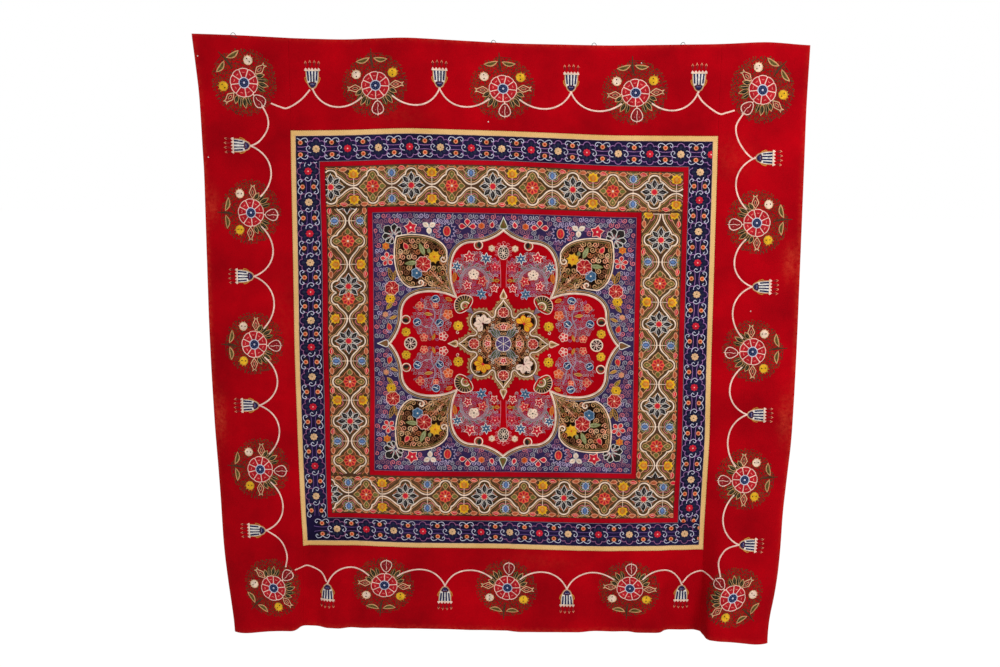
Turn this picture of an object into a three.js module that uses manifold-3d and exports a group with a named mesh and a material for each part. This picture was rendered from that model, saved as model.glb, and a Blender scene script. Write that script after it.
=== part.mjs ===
// An embroidered square wall panel, pieced from wool broadcloth and hanging from its top edge.
// Millimetres, +Z up. The face looks along -Y. The origin is the middle of the top edge.
//
// Each piece is cut on a flat pattern, with "across" to the right and "up" measured from the
// middle of the framed square. hang() takes a place on the pattern to where the cloth hangs.

import * as THREE from 'three';
import { mergeVertices } from 'three/addons/utils/BufferGeometryUtils.js';
import Module from 'manifold-3d';

const wasm = await Module();
wasm.setup();

// ---- Driving sizes ----

const cloth = { thickness: 2, seamGap: 0.3 };

// The framed square, measured over the yellow band, and the red border sewn round it.
const square = { halfWidth: 610, halfHeight: 622 };
const border = { left: 258, right: 248, top: 250, bottom: 264 };

// Strips from the outside in. "side" is the width of the upright strips, "end" of the level ones.
const frames = [
  { name: 'yellow_band', side: 15, end: 16, colour: 'yellowWool' },
  { name: 'navy_border', side: 66, end: 73, colour: 'navyWool' },
  { name: 'outer_stripe', side: 14, end: 14, colour: 'scarletWool' },
  { name: 'taupe_border', side: 117, end: 119, colour: 'taupeWool' },
  { name: 'inner_stripe', side: 14, end: 15, colour: 'scarletWool' },
];

// The inlaid field: a cross of four ogee petals, a leaf in each corner, a medallion in the middle.
const petal = { apex: 338, shoulder: 88, shoulderRise: 302, halfWidth: 156, widest: 215, notch: 138 };
const leaf = { corner: 314, wide: 163, tall: 258, tuck: 12 };
const medallion = { point: 131, notchAcross: 35, notchUp: 78, lobeMiddle: 66, lobeRadius: 31 };

// Pleats that fall to the hem. Each stands "depth" toward the front between "from" and "to",
// turns over a distance of "soft" at either side, and dies away "reach" above the hem.
// "lean" carries it sideways for each millimetre of height.
const pleats = [
  { from: -1100, to: -630, soft: 60, depth: 38, reach: 640, lean: 0.05 },
  { from: -548, to: -478, soft: 42, depth: 13, reach: 330, lean: 0.03 },
  { from: 30, to: 252, soft: 58, depth: 10, reach: 380, lean: 0 },
  { from: 392, to: 478, soft: 34, depth: 9, reach: 300, lean: 0.02 },
  { from: 494, to: 606, soft: 40, depth: -17, reach: 400, lean: 0.01 },
  { from: 640, to: 1100, soft: 66, depth: 46, reach: 620, lean: 0 },
];

// The side edges curl back below "top" and are fully curled at "full".
const curls = [
  { side: -1, width: 74, depth: 24, top: 150, full: -520 },
  { side: 1, width: 66, depth: 20, top: 60, full: -560 },
];

// Broad swells of the hanging cloth, toward the front where depth is positive.
const swells = [
  { across: -790, up: 800, wide: 190, tall: 170, depth: -9 },
  { across: -290, up: 800, wide: 150, tall: 110, depth: 7 },
  { across: 150, up: 790, wide: 200, tall: 100, depth: -4 },
  { across: 560, up: 800, wide: 160, tall: 120, depth: 6 },
  { across: -60, up: 60, wide: 330, tall: 420, depth: 7 },
  { across: 740, up: 150, wide: 120, tall: 420, depth: 6 },
  { across: -740, up: 60, wide: 110, tall: 380, depth: 8 },
];

// How far the cloth lies off its cut place: sideways, at seven uprights of the pattern ...
const drift = [
  { up: -886, edgeLeft: 20, bandLeft: -8, fieldLeft: -3, middle: 6, fieldRight: 15, bandRight: 20, edgeRight: 8 },
  { up: -622, edgeLeft: 8, bandLeft: 5, fieldLeft: 4, middle: 4, fieldRight: 3, bandRight: 2, edgeRight: -6 },
  { up: -500, edgeLeft: 6, bandLeft: 1, fieldLeft: -1, middle: 1, fieldRight: 1, bandRight: 2, edgeRight: -8 },
  { up: -280, edgeLeft: -1, bandLeft: -4, fieldLeft: 0, middle: 3, fieldRight: 4, bandRight: 6, edgeRight: 4 },
  { up: -30, edgeLeft: 0, bandLeft: -7, fieldLeft: 2, middle: 1, fieldRight: 0, bandRight: 1, edgeRight: 1 },
  { up: 500, edgeLeft: 3, bandLeft: -4, fieldLeft: 2, middle: -3, fieldRight: -4, bandRight: -4, edgeRight: -6 },
  { up: 700, edgeLeft: -4, bandLeft: -2, fieldLeft: -3, middle: -4, fieldRight: -6, bandRight: -7, edgeRight: -9 },
  { up: 872, edgeLeft: -22, bandLeft: -4, fieldLeft: -4, middle: -5, fieldRight: -6, bandRight: -6, edgeRight: -7 },
];

// ... and up or down, along five levels of it.
const lift = [
  { across: -868, edgeTop: 18, bandTop: 6, middle: 0, bandBottom: -2, hem: -13 },
  { across: -740, edgeTop: 14, bandTop: 3, middle: 1, bandBottom: 1, hem: 2 },
  { across: -600, edgeTop: 6, bandTop: -1, middle: 4, bandBottom: 2, hem: 6 },
  { across: -450, edgeTop: 2, bandTop: 2, middle: 7, bandBottom: 4, hem: 1 },
  { across: -280, edgeTop: 9, bandTop: 9, middle: 9, bandBottom: -1, hem: 1 },
  { across: 20, edgeTop: -6, bandTop: 2, middle: 12, bandBottom: 1, hem: -1 },
  { across: 300, edgeTop: -10, bandTop: -8, middle: 9, bandBottom: -4, hem: 3 },
  { across: 600, edgeTop: -5, bandTop: -8, middle: 3, bandBottom: 4, hem: 4 },
  { across: 740, edgeTop: 3, bandTop: -6, middle: 0, bandBottom: 2, hem: -6 },
  { across: 858, edgeTop: -7, bandTop: -7, middle: 0, bandBottom: -3, hem: -17 },
];

// How finely the hanging cloth is faceted: the spacing of its stops and the least distance
// between two of them, where stops stand on a pleat's turn and on a curled edge, and the share
// of a pleat's reach over which it is faceted.
const facet = {
  across: 95, up: 110, hem: 44, least: 7,
  pleatTurns: [-0.5, -0.17, 0.17, 0.5],
  pleatShare: 0.6,
  curlTurns: [0.35, 1],
};

const halfGap = cloth.seamGap / 2;
const fieldHalf = 384;   // half the inlaid field, across
const rowStep = 4;      // step of the sum that keeps each row of the cloth at its cut length
const steepest = 0.97;  // the steepest turn a pleat can make

// ---- The edges of the pattern ----

const edge = {
  left: -square.halfWidth - border.left,
  right: square.halfWidth + border.right,
  top: square.halfHeight + border.top,
  bottom: -square.halfHeight - border.bottom,
};

// ---- Where the cloth hangs ----

function smooth(t) {
  const s = Math.min(Math.max(t, 0), 1);
  return s * s * (3 - 2 * s);
}

// Runs straight between values held at several rising stops.
function betweenStops(stops, values, at) {
  const next = Math.max(stops.findIndex((stop) => stop >= at), 1);
  if (at > stops[stops.length - 1]) return values[stops.length - 1];
  const share = Math.max((at - stops[next - 1]) / (stops[next] - stops[next - 1]), 0);
  return values[next - 1] + share * (values[next] - values[next - 1]);
}

// Reads one column of a table whose rows are held at rising places.
function readTable(rows, place, column, at) {
  return betweenStops(rows.map((row) => row[place]), rows.map((row) => row[column]), at);
}

// How far the cloth stands toward the front.
function depthAt(across, up) {
  const height = up - edge.bottom;
  let depth = 0;
  for (const { from, to, soft, depth: stand, reach, lean } of pleats) {
    const start = smooth((across - from - lean * height) / soft + 0.5);
    const end = smooth((across - to - lean * height) / soft + 0.5);
    depth += stand * (start - end) * smooth(1 - height / reach);
  }
  for (const { side, width, depth: back, top, full } of curls) {
    const inFromEdge = side < 0 ? across - edge.left : edge.right - across;
    const near = Math.min(Math.max(1 - inFromEdge / width, 0), 1);
    depth -= back * near * near * smooth((top - up) / (top - full));
  }
  for (const { across: x, up: z, wide, tall, depth: stand } of swells) {
    depth += stand * Math.exp(-(((across - x) / wide) ** 2) - ((up - z) / tall) ** 2);
  }
  return depth;
}

// A row of cloth keeps its cut length, so it draws in where it turns toward or away.
function drawnIn(across, up) {
  if (across === 0) return 0;
  const steps = Math.ceil(Math.abs(across) / rowStep);
  const step = across / steps;
  let along = 0;
  for (let i = 0; i < steps; i++) {
    const rise = depthAt((i + 1) * step, up) - depthAt(i * step, up);
    const slope = Math.min(Math.abs(rise / step), steepest);
    along += step * Math.sqrt(1 - slope * slope);
  }
  return along;
}

const driftStops = [
  edge.left, -square.halfWidth, -fieldHalf, 0, fieldHalf, square.halfWidth, edge.right,
];
const driftColumns = [
  'edgeLeft', 'bandLeft', 'fieldLeft', 'middle', 'fieldRight', 'bandRight', 'edgeRight',
];
const liftStops = [edge.bottom, -square.halfHeight, 0, square.halfHeight, edge.top];
const liftColumns = ['hem', 'bandBottom', 'middle', 'bandTop', 'edgeTop'];

function hangFromMiddle(across, up) {
  const aside = driftColumns.map((column) => readTable(drift, 'up', column, up));
  const raised = liftColumns.map((column) => readTable(lift, 'across', column, across));
  return new THREE.Vector3(
    drawnIn(across, up) + betweenStops(driftStops, aside, across),
    -depthAt(across, up),
    up + betweenStops(liftStops, raised, up),
  );
}

const topEdge = hangFromMiddle(0, edge.top);

function hang(across, up) {
  return hangFromMiddle(across, up).sub(topEdge);
}

// The direction the face looks at a place on the pattern.
function faceNormal(across, up) {
  const reach = 1;
  const level = hang(across + reach, up).sub(hang(across - reach, up));
  const upright = hang(across, up + reach).sub(hang(across, up - reach));
  return level.cross(upright).normalize();
}

// ---- Sheets ----

// Even stops between two ends.
function evenStops(low, high, spacing) {
  const parts = Math.max(Math.round((high - low) / spacing), 1);
  return Array.from({ length: parts + 1 }, (_, i) => low + ((high - low) * i) / parts);
}

// Every piece is faceted at the same stops, so that pieces sewn together follow each other.
// The rows of the two tables are among them.
function stopsThrough(fixed, spacing) {
  return fixed.slice(1).flatMap((stop, i) => evenStops(fixed[i], stop, spacing));
}

const acrossStops = stopsThrough(lift.map((row) => row.across), facet.across);
const upStops = stopsThrough(drift.map((row) => row.up), facet.up);
const hemStops = evenStops(edge.bottom, -square.halfHeight, facet.hem);

// The uprights at which the pleats that still show at this height above the hem begin, turn
// and end, with those of the curled edges.
function turnStops(height) {
  const stops = [];
  for (const { from, to, soft, reach, lean } of pleats) {
    if (height > facet.pleatShare * reach) continue;
    for (const side of [from, to]) {
      for (const turn of facet.pleatTurns) stops.push(side + soft * turn + lean * height);
    }
  }
  for (const { side, width } of curls) {
    const rim = side < 0 ? edge.left : edge.right;
    for (const share of facet.curlTurns) stops.push(rim - side * width * share);
  }
  return stops;
}

// The stops that lie inside a piece, with its own two edges.
function stopsInside(low, high, stops) {
  const inside = [low];
  for (const stop of stops.sort((a, b) => a - b)) {
    if (stop > inside[inside.length - 1] + facet.least && stop < high - facet.least) inside.push(stop);
  }
  return [...inside, high];
}

// A closed sheet over a grid of places on the pattern.
function sheetGeometry(columns, rows) {
  const positions = [];
  for (const front of [1, -1]) {
    for (const up of rows) {
      for (const across of columns) {
        const point = hang(across, up);
        point.addScaledVector(faceNormal(across, up), (front * cloth.thickness) / 2);
        positions.push(point.x, point.y, point.z);
      }
    }
  }
  const wide = columns.length;
  const tall = rows.length;
  const at = (side, row, column) => (side * tall + row) * wide + column;
  const triangles = [];
  const quad = (a, b, c, d) => triangles.push(a, b, c, a, c, d);
  for (let r = 0; r < tall - 1; r++) {
    for (let c = 0; c < wide - 1; c++) {
      quad(at(0, r, c), at(0, r, c + 1), at(0, r + 1, c + 1), at(0, r + 1, c));
      quad(at(1, r, c), at(1, r + 1, c), at(1, r + 1, c + 1), at(1, r, c + 1));
    }
  }
  // The rims of two pieces sewn together are split along the same diagonals.
  for (let c = 0; c < wide - 1; c++) {
    quad(at(1, 0, c), at(1, 0, c + 1), at(0, 0, c + 1), at(0, 0, c));
    quad(at(1, tall - 1, c), at(0, tall - 1, c), at(0, tall - 1, c + 1), at(1, tall - 1, c + 1));
  }
  for (let r = 0; r < tall - 1; r++) {
    quad(at(1, r, 0), at(0, r, 0), at(0, r + 1, 0), at(1, r + 1, 0));
    quad(at(1, r, wide - 1), at(1, r + 1, wide - 1), at(0, r + 1, wide - 1), at(0, r, wide - 1));
  }
  const geometry = new THREE.BufferGeometry();
  geometry.setAttribute('position', new THREE.Float32BufferAttribute(positions, 3));
  geometry.setIndex(triangles);
  return geometry;
}

// A four-sided piece, cut back by half the seam gap all round. It shows the pleats that stand
// at "pleatHeight" above the hem.
function cutStrip(left, right, bottom, top, pleatHeight, levels = upStops) {
  const turns = [...acrossStops, ...turnStops(pleatHeight)];
  const columns = stopsInside(left + halfGap, right - halfGap, turns);
  const rows = stopsInside(bottom + halfGap, top - halfGap, [...levels]);
  return sheetGeometry(columns, rows);
}

// ---- Inlaid outlines, on the pattern ----

const swapAxes = (point) => new THREE.Vector2(point.y, point.x);
const swapSides = (point) => new THREE.Vector2(-point.x, point.y);

// Half an outline followed by its own reflection, less the last point, where the next part starts.
function mirrored(halfOutline, flip) {
  const whole = [...halfOutline, ...halfOutline.slice(0, -1).reverse().map(flip)];
  return whole.slice(0, -1);
}

// Repeats a quarter of an outline at each quarter turn.
function fourTimes(quarter) {
  const middle = new THREE.Vector2();
  return [0, 1, 2, 3].flatMap((turn) => {
    const angle = (-turn * Math.PI) / 2;
    return quarter.map((point) => point.clone().rotateAround(middle, angle));
  });
}

// Points along cubic curves, each given as two handles and an end.
function curvePoints(start, curves, divisions) {
  const path = new THREE.Path();
  path.moveTo(...start);
  for (const curve of curves) path.bezierCurveTo(...curve);
  return path.getPoints(divisions);
}

// From the notch between two petals, out round the shoulder and up to the ogee's tip.
function crossOutline() {
  const { apex, shoulder, shoulderRise, halfWidth, widest, notch } = petal;
  const halfPetal = curvePoints([-notch, notch], [
    [-150, 160, -halfWidth, 185, -halfWidth, widest],
    [-halfWidth, 262, -136, shoulderRise, -shoulder, shoulderRise],
    [-48, shoulderRise, -14, apex - 14, 0, apex],
  ], 4);
  return fourTimes(mirrored(halfPetal, swapSides));
}

// From the tail in the notch, round the bulge and out to the pointed corner.
function leafOutline() {
  const { corner, wide, tall, tuck } = leaf;
  const tail = [new THREE.Vector2(petal.notch, petal.notch), new THREE.Vector2(wide - tuck, tall - tuck)];
  const bulge = curvePoints([wide, tall], [[166, 326, 275, 326, corner, corner]], 8);
  return mirrored([...tail, ...bulge], swapAxes);
}

// From an ogee point, through the notch beside it and half way round the lobe.
function medallionOutline() {
  const { point, notchAcross, notchUp, lobeMiddle, lobeRadius } = medallion;
  const ogee = curvePoints([0, point], [
    [10, 112, 24, 106, 24, 92],
    [24, 84, 26, notchUp, notchAcross, notchUp],
  ], 4);
  const lobe = evenStops(150, 45, -35).map((degrees) => {
    const angle = THREE.MathUtils.degToRad(degrees);
    const onLobe = new THREE.Vector2(Math.cos(angle), Math.sin(angle)).multiplyScalar(lobeRadius);
    return onLobe.addScalar(lobeMiddle);
  });
  return fourTimes(mirrored([...ogee, ...lobe], swapAxes));
}

// Moves a closed outline outward, or inward by a negative distance, to leave the seam gap.
function grow(outline, distance) {
  const turning = Math.sign(THREE.ShapeUtils.area(outline));
  return outline.map((point, i) => {
    const before = outline[(i + outline.length - 1) % outline.length];
    const after = outline[(i + 1) % outline.length];
    const into = point.clone().sub(before).normalize();
    const out = after.clone().sub(point).normalize();
    const along = into.add(out).normalize();
    return new THREE.Vector2(point.x + turning * along.y * distance, point.y - turning * along.x * distance);
  });
}

// ---- Joins and cuts ----

function toSolid(geometry) {
  geometry.deleteAttribute('normal');
  geometry.deleteAttribute('uv');
  const merged = mergeVertices(geometry, 1e-4);
  return new wasm.Manifold(new wasm.Mesh({
    numProp: 3,
    vertProperties: new Float32Array(merged.attributes.position.array),
    triVerts: new Uint32Array(merged.index.array),
  }));
}

function fromSolid(solid) {
  const { vertProperties, triVerts } = solid.getMesh();
  const geometry = new THREE.BufferGeometry();
  geometry.setAttribute('position', new THREE.BufferAttribute(new Float32Array(vertProperties), 3));
  geometry.setIndex(new THREE.BufferAttribute(new Uint32Array(triVerts), 1));
  return geometry;
}

// A cutter that stands "reach" through the cloth each way along Y, over an outline hung with it.
function cutter(outline, reach = 90) {
  const hung = outline.map((point) => {
    const place = hang(point.x, point.y);
    return new THREE.Vector2(place.x, place.z);
  });
  const shape = new THREE.Shape(hung);
  const geometry = new THREE.ExtrudeGeometry(shape, { depth: 2 * reach, bevelEnabled: false });
  geometry.rotateX(Math.PI / 2);
  geometry.translate(0, reach, 0);
  return toSolid(geometry);
}

// ---- The panel ----

const wool = {
  crimsonWool: { color: 0xab0317, roughness: 0.92 },
  scarletWool: { color: 0xa8081a, roughness: 0.92 },
  yellowWool: { color: 0xd9ad6c, roughness: 0.92 },
  navyWool: { color: 0x20183c, roughness: 0.92 },
  taupeWool: { color: 0x5e4230, roughness: 0.92 },
  violetWool: { color: 0x3d3056, roughness: 0.92 },
  blackWool: { color: 0x1e100a, roughness: 0.92 },
};

const panel = new THREE.Group();

function addPiece(name, geometry, colour) {
  const mesh = new THREE.Mesh(geometry, new THREE.MeshStandardMaterial({ ...wool[colour], metalness: 0 }));
  mesh.name = name;
  panel.add(mesh);
}

// The red border: the side strips run the full height, and the end strips lie between them.
const { halfWidth, halfHeight } = square;
const abovePleats = edge.top - edge.bottom;
const sideLevels = [...upStops.filter((up) => up > -halfHeight), ...hemStops];
const borderPieces = {
  border_left: cutStrip(edge.left, -halfWidth, edge.bottom, edge.top, 0, sideLevels),
  border_right: cutStrip(halfWidth, edge.right, edge.bottom, edge.top, 0, sideLevels),
  border_top: cutStrip(-halfWidth, halfWidth, halfHeight, edge.top, abovePleats),
  border_bottom: cutStrip(-halfWidth, halfWidth, edge.bottom, -halfHeight, 0, hemStops),
};
for (const [name, geometry] of Object.entries(borderPieces)) addPiece(name, geometry, 'crimsonWool');

// The frames: their end strips run the full width, and the side strips lie between them. The
// bottom strip of the yellow band follows every pleat of the border sewn to it.
let outer = { x: halfWidth, z: halfHeight };
for (const { name, side, end, colour } of frames) {
  const inner = { x: outer.x - side, z: outer.z - end };
  const followsHem = name === 'yellow_band' ? 0 : border.bottom;
  addPiece(`${name}_top`, cutStrip(-outer.x, outer.x, inner.z, outer.z, abovePleats), colour);
  addPiece(`${name}_bottom`, cutStrip(-outer.x, outer.x, -outer.z, -inner.z, followsHem), colour);
  addPiece(`${name}_left`, cutStrip(-outer.x, -inner.x, -inner.z, inner.z, border.bottom), colour);
  addPiece(`${name}_right`, cutStrip(inner.x, outer.x, -inner.z, inner.z, border.bottom), colour);
  outer = inner;
}

// The field and what is inlaid in it are cut from one hanging sheet.
const ground = toSolid(cutStrip(-outer.x, outer.x, -outer.z, outer.z, border.bottom));
const cross = crossOutline();
const centre = medallionOutline();
const corner = leafOutline();
const corners = [
  { name: 'top_left', across: -1, up: 1 },
  { name: 'top_right', across: 1, up: 1 },
  { name: 'bottom_left', across: -1, up: -1 },
  { name: 'bottom_right', across: 1, up: -1 },
];

let field = ground.subtract(cutter(grow(cross, halfGap)));
for (const { name, across, up } of corners) {
  const outline = corner.map((point) => new THREE.Vector2(point.x * across, point.y * up));
  const leafSolid = ground.intersect(cutter(grow(outline, -halfGap))).subtract(cutter(grow(cross, halfGap)));
  addPiece(`leaf_${name}`, fromSolid(leafSolid), 'blackWool');
  field = field.subtract(cutter(grow(outline, halfGap)));
}
addPiece('field', fromSolid(field), 'violetWool');

const petals = ground.intersect(cutter(grow(cross, -halfGap))).subtract(cutter(grow(centre, halfGap)));
addPiece('petals', fromSolid(petals), 'crimsonWool');
addPiece('medallion', fromSolid(ground.intersect(cutter(grow(centre, -halfGap)))), 'blackWool');

export default panel;
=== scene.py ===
# Embroidered square panel: pieced wool cloth with silk chain stitch, hanging from its top edge.
# Pattern places are in millimetres from the middle of the framed square, as complex numbers:
# real to the right, imaginary up. onCloth() takes them to where the cloth hangs, in metres.
import math

import bpy
import numpy as np
from mathutils import Matrix, Vector
from mathutils.geometry import delaunay_2d_cdt


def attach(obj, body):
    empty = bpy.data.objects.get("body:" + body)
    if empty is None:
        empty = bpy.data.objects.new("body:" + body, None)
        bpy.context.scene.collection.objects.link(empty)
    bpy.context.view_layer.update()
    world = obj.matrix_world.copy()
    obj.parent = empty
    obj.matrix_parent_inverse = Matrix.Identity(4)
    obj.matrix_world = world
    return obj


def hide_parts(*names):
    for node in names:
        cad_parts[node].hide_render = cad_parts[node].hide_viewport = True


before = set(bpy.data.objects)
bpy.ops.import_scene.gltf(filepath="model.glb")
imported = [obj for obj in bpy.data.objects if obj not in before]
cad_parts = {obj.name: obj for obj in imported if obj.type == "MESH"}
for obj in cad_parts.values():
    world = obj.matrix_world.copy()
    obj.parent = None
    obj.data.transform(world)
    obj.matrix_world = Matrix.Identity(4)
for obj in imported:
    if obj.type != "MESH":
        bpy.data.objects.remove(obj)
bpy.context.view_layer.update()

mm = 0.001
print("frame loaded,", len(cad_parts), "nodes")


# The camera stands a little right of the middle and above it.
cameraSetup = {
    "aim": (-0.0056, 0.001, -0.827),
    "distance": 3.1,
    "lens": 37.98,
    "elevation": 9.46,   # degrees above the aim
    "azimuth": 1.145,    # degrees round to the right
    "roll": 0.437,
}


def placeCamera():
    data = bpy.data.cameras.new("camera")
    data.lens = cameraSetup["lens"]
    data.sensor_width = 36
    camera = bpy.data.objects.new("camera", data)
    bpy.context.scene.collection.objects.link(camera)
    rise = math.radians(cameraSetup["elevation"])
    turn = math.radians(cameraSetup["azimuth"])
    outward = Vector((math.sin(turn) * math.cos(rise), -math.cos(turn) * math.cos(rise), math.sin(rise)))
    right = (-outward).cross(Vector((0, 0, 1))).normalized()
    top = right.cross(-outward)
    stand = Matrix.Translation(Vector(cameraSetup["aim"]) + outward * cameraSetup["distance"])
    axes = Matrix((right, top, outward)).transposed().to_4x4()
    camera.matrix_world = stand @ axes @ Matrix.Rotation(math.radians(cameraSetup["roll"]), 4, "Z")
    bpy.context.scene.camera = camera


placeCamera()


# The cut sizes, in millimetres, as the frame has them.
square = {"halfWidth": 610, "halfHeight": 622}
border = {"left": 258, "right": 248, "top": 250, "bottom": 264}
fieldHalf = 384
edge = {
    "left": -square["halfWidth"] - border["left"],
    "right": square["halfWidth"] + border["right"],
    "top": square["halfHeight"] + border["top"],
    "bottom": -square["halfHeight"] - border["bottom"],
}

# Pleats at the hem: from, to, soft turn, depth to the front, reach above the hem, lean.
pleats = [
    (-1100, -630, 60, 38, 640, 0.05),
    (-548, -478, 42, 13, 330, 0.03),
    (30, 252, 58, 10, 380, 0),
    (392, 478, 34, 9, 300, 0.02),
    (494, 606, 40, -17, 400, 0.01),
    (640, 1100, 66, 46, 620, 0),
]
# Side edges that curl back: side, width, depth, height where it starts and where it is full.
curls = [(-1, 74, 24, 150, -520), (1, 66, 20, 60, -560)]
# Broad swells: across, up, wide, tall, depth.
swells = [
    (-790, 800, 190, 170, -9),
    (-290, 800, 150, 110, 7),
    (150, 790, 200, 100, -4),
    (560, 800, 160, 120, 6),
    (-60, 60, 330, 420, 7),
    (740, 150, 120, 420, 6),
    (-740, 60, 110, 380, 8),
]
# Sideways drift by height: up, then at the left edge, the square's side, the field's side,
# the middle, and the same three to the right.
drift = [
    (-886, 20, -8, -3, 6, 15, 20, 8),
    (-622, 8, 5, 4, 4, 3, 2, -6),
    (-500, 6, 1, -1, 1, 1, 2, -8),
    (-280, -1, -4, 0, 3, 4, 6, 4),
    (-30, 0, -7, 2, 1, 0, 1, 1),
    (500, 3, -4, 2, -3, -4, -4, -6),
    (700, -4, -2, -3, -4, -6, -7, -9),
    (872, -22, -4, -4, -5, -6, -6, -7),
]
# Lift by place: across, then at the top edge, top of the square, middle, its bottom, the hem.
lift = [
    (-868, 18, 6, 0, -2, -13),
    (-740, 14, 3, 1, 1, 2),
    (-600, 6, -1, 4, 2, 6),
    (-450, 2, 2, 7, 4, 1),
    (-280, 9, 9, 9, -1, 1),
    (20, -6, 2, 12, 1, -1),
    (300, -10, -8, 9, -4, 3),
    (600, -5, -8, 3, 4, 4),
    (740, 3, -6, 0, 2, -6),
    (858, -7, -7, 0, -3, -17),
]
# Fine creases that the solids leave out: across at the hem, lean, width, depth, from up to up.
creases = [
    (14, 0.002, 9, -1.6, -886, 872),
    (12, 0.002, 30, 1.2, -886, 872),
    (-640, 0.05, 16, -4.0, -886, -560),
    (-655, 0.06, 26, 3.0, -886, -480),
    (612, -0.01, 12, -4.5, -886, -520),
    (585, 0.01, 20, -3.0, -886, -300),
    (-420, 0.16, 22, 3.0, -880, -620),
    (-300, 0.10, 26, 2.5, -886, -640),
    (-100, -0.06, 24, 2.0, -886, -650),
    (330, 0.02, 24, 2.5, -886, -640),
    (700, 0.01, 22, 3.0, -886, -560),
    (-560, -0.05, 24, 2.0, 640, 872),
    (-60, 0.04, 26, -1.6, 650, 872),
    (250, -0.05, 26, 1.8, 640, 872),
    (600, 0.02, 24, -1.6, 640, 872),
]
# Small shifts along the cloth that the solids leave out: across, up, wide, tall, aside, raised.
nudges = [
    (-20, 500, 300, 70, 0, 4.5),
    (-470, 240, 100, 190, 4.5, 0),
    (-440, -150, 90, 130, 4.5, 0),
    (0, -530, 500, 48, 0, -3),
    (280, -390, 160, 60, 0, 3.5),
]
clothMap = {"acrossStep": 4, "upStep": 6, "reach": 960, "soften": 28, "steepest": 0.97,
            "creaseEnd": 60, "ripple": 0.9, "rippleSize": 9, "rippleSeed": 5}


def smooth(t):
    s = np.clip(t, 0, 1)
    return s * s * (3 - 2 * s)


def mound(across, up, x, z, wide, tall):
    return np.exp(-((across - x) / wide) ** 2 - ((up - z) / tall) ** 2)


def depthAt(across, up):
    height = up - edge["bottom"]
    depth = np.zeros(np.broadcast(across, up).shape)
    for start, end, soft, stand, reach, lean in pleats:
        rise = smooth((across - start - lean * height) / soft + 0.5)
        fall = smooth((across - end - lean * height) / soft + 0.5)
        depth += stand * (rise - fall) * smooth(1 - height / reach)
    for side, width, back, top, full in curls:
        inFromEdge = across - edge["left"] if side < 0 else edge["right"] - across
        depth -= back * np.clip(1 - inFromEdge / width, 0, 1) ** 2 * smooth((top - up) / (top - full))
    for *where, stand in swells:
        depth += stand * mound(across, up, *where)
    return depth


def creaseDepth(across, up):
    depth, soft = np.zeros(np.broadcast(across, up).shape), clothMap["creaseEnd"]
    for x, lean, width, stand, low, high in creases:
        ends = smooth((up - low + soft) / soft) * smooth((high + soft - up) / (2 * soft))
        line = x + lean * (up - edge["bottom"])
        depth += stand * ends * np.exp(-((across - line) / width) ** 2)
    return depth


def blurred(values, reach, axis):
    # a running mean passed twice along one axis, with the ends held
    size = 2 * int(round(reach)) + 1
    kernel = np.convolve(np.ones(size), np.ones(size)) / size**2
    pad = len(kernel) // 2
    held = np.pad(values, [(pad, pad) if a == axis else (0, 0) for a in range(2)], mode="edge")
    return np.apply_along_axis(lambda row: np.convolve(row, kernel, "valid"), axis, held)


def softened(values, reach):
    return blurred(blurred(values, reach / clothMap["upStep"], 0), reach / clothMap["acrossStep"], 1)


def makeClothMap():
    # places and normals of the cloth's middle on an even grid of the pattern
    a = np.arange(-clothMap["reach"], clothMap["reach"] + 1, clothMap["acrossStep"], dtype=float)
    u = np.arange(-clothMap["reach"], clothMap["reach"] + 1, clothMap["upStep"], dtype=float)
    across, up = np.meshgrid(a, u)
    depth = depthAt(across, up)
    slope = np.clip(np.abs(np.diff(depth, axis=1)) / clothMap["acrossStep"], 0, clothMap["steepest"])
    run = np.cumsum(clothMap["acrossStep"] * np.sqrt(1 - slope**2), axis=1)
    run = np.concatenate([np.zeros((len(u), 1)), run], axis=1)
    x = run - run[:, [np.argmin(np.abs(a))]]
    heights, *driftColumns = np.array(drift, float).T
    marks = [edge["left"], -square["halfWidth"], -fieldHalf, 0, fieldHalf, square["halfWidth"], edge["right"]]
    columns = np.stack([np.interp(u, heights, column) for column in driftColumns], axis=1)
    aside = softened(np.stack([np.interp(a, marks, row) for row in columns]), clothMap["soften"])
    places, *liftColumns = np.array(lift, float).T
    levels = [edge["bottom"], -square["halfHeight"], 0, square["halfHeight"], edge["top"]]
    columns = np.stack([np.interp(a, places, column) for column in liftColumns[::-1]], axis=1)
    raised = softened(np.stack([np.interp(u, levels, row) for row in columns], axis=1), clothMap["soften"])
    for *where, shift, rise in nudges:
        share = mound(across, up, *where)
        aside, raised = aside + shift * share, raised + rise * share
    # the stitching draws the cloth into faint ripples
    rng = np.random.default_rng(clothMap["rippleSeed"])
    ripple = softened(rng.normal(size=across.shape), clothMap["rippleSize"])
    ripple *= clothMap["ripple"] / np.abs(ripple).max()
    out = depth + creaseDepth(across, up) + ripple
    places = np.stack([x + aside, -out, up + raised], axis=-1)
    level = np.gradient(places, clothMap["acrossStep"], axis=1)
    upright = np.gradient(places, clothMap["upStep"], axis=0)
    normals = np.cross(level, upright)
    normals /= np.linalg.norm(normals, axis=-1, keepdims=True)
    return places, normals


clothPlaces, clothNormals = makeClothMap()


def readMap(grid, spots):
    column = np.clip((spots.real + clothMap["reach"]) / clothMap["acrossStep"], 0, grid.shape[1] - 1.001)
    row = np.clip((spots.imag + clothMap["reach"]) / clothMap["upStep"], 0, grid.shape[0] - 1.001)
    c, r = column.astype(int), row.astype(int)
    s, t = (column - c)[:, None], (row - r)[:, None]
    low = grid[r, c] * (1 - s) + grid[r, c + 1] * s
    high = grid[r + 1, c] * (1 - s) + grid[r + 1, c + 1] * s
    return low * (1 - t) + high * t


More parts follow.
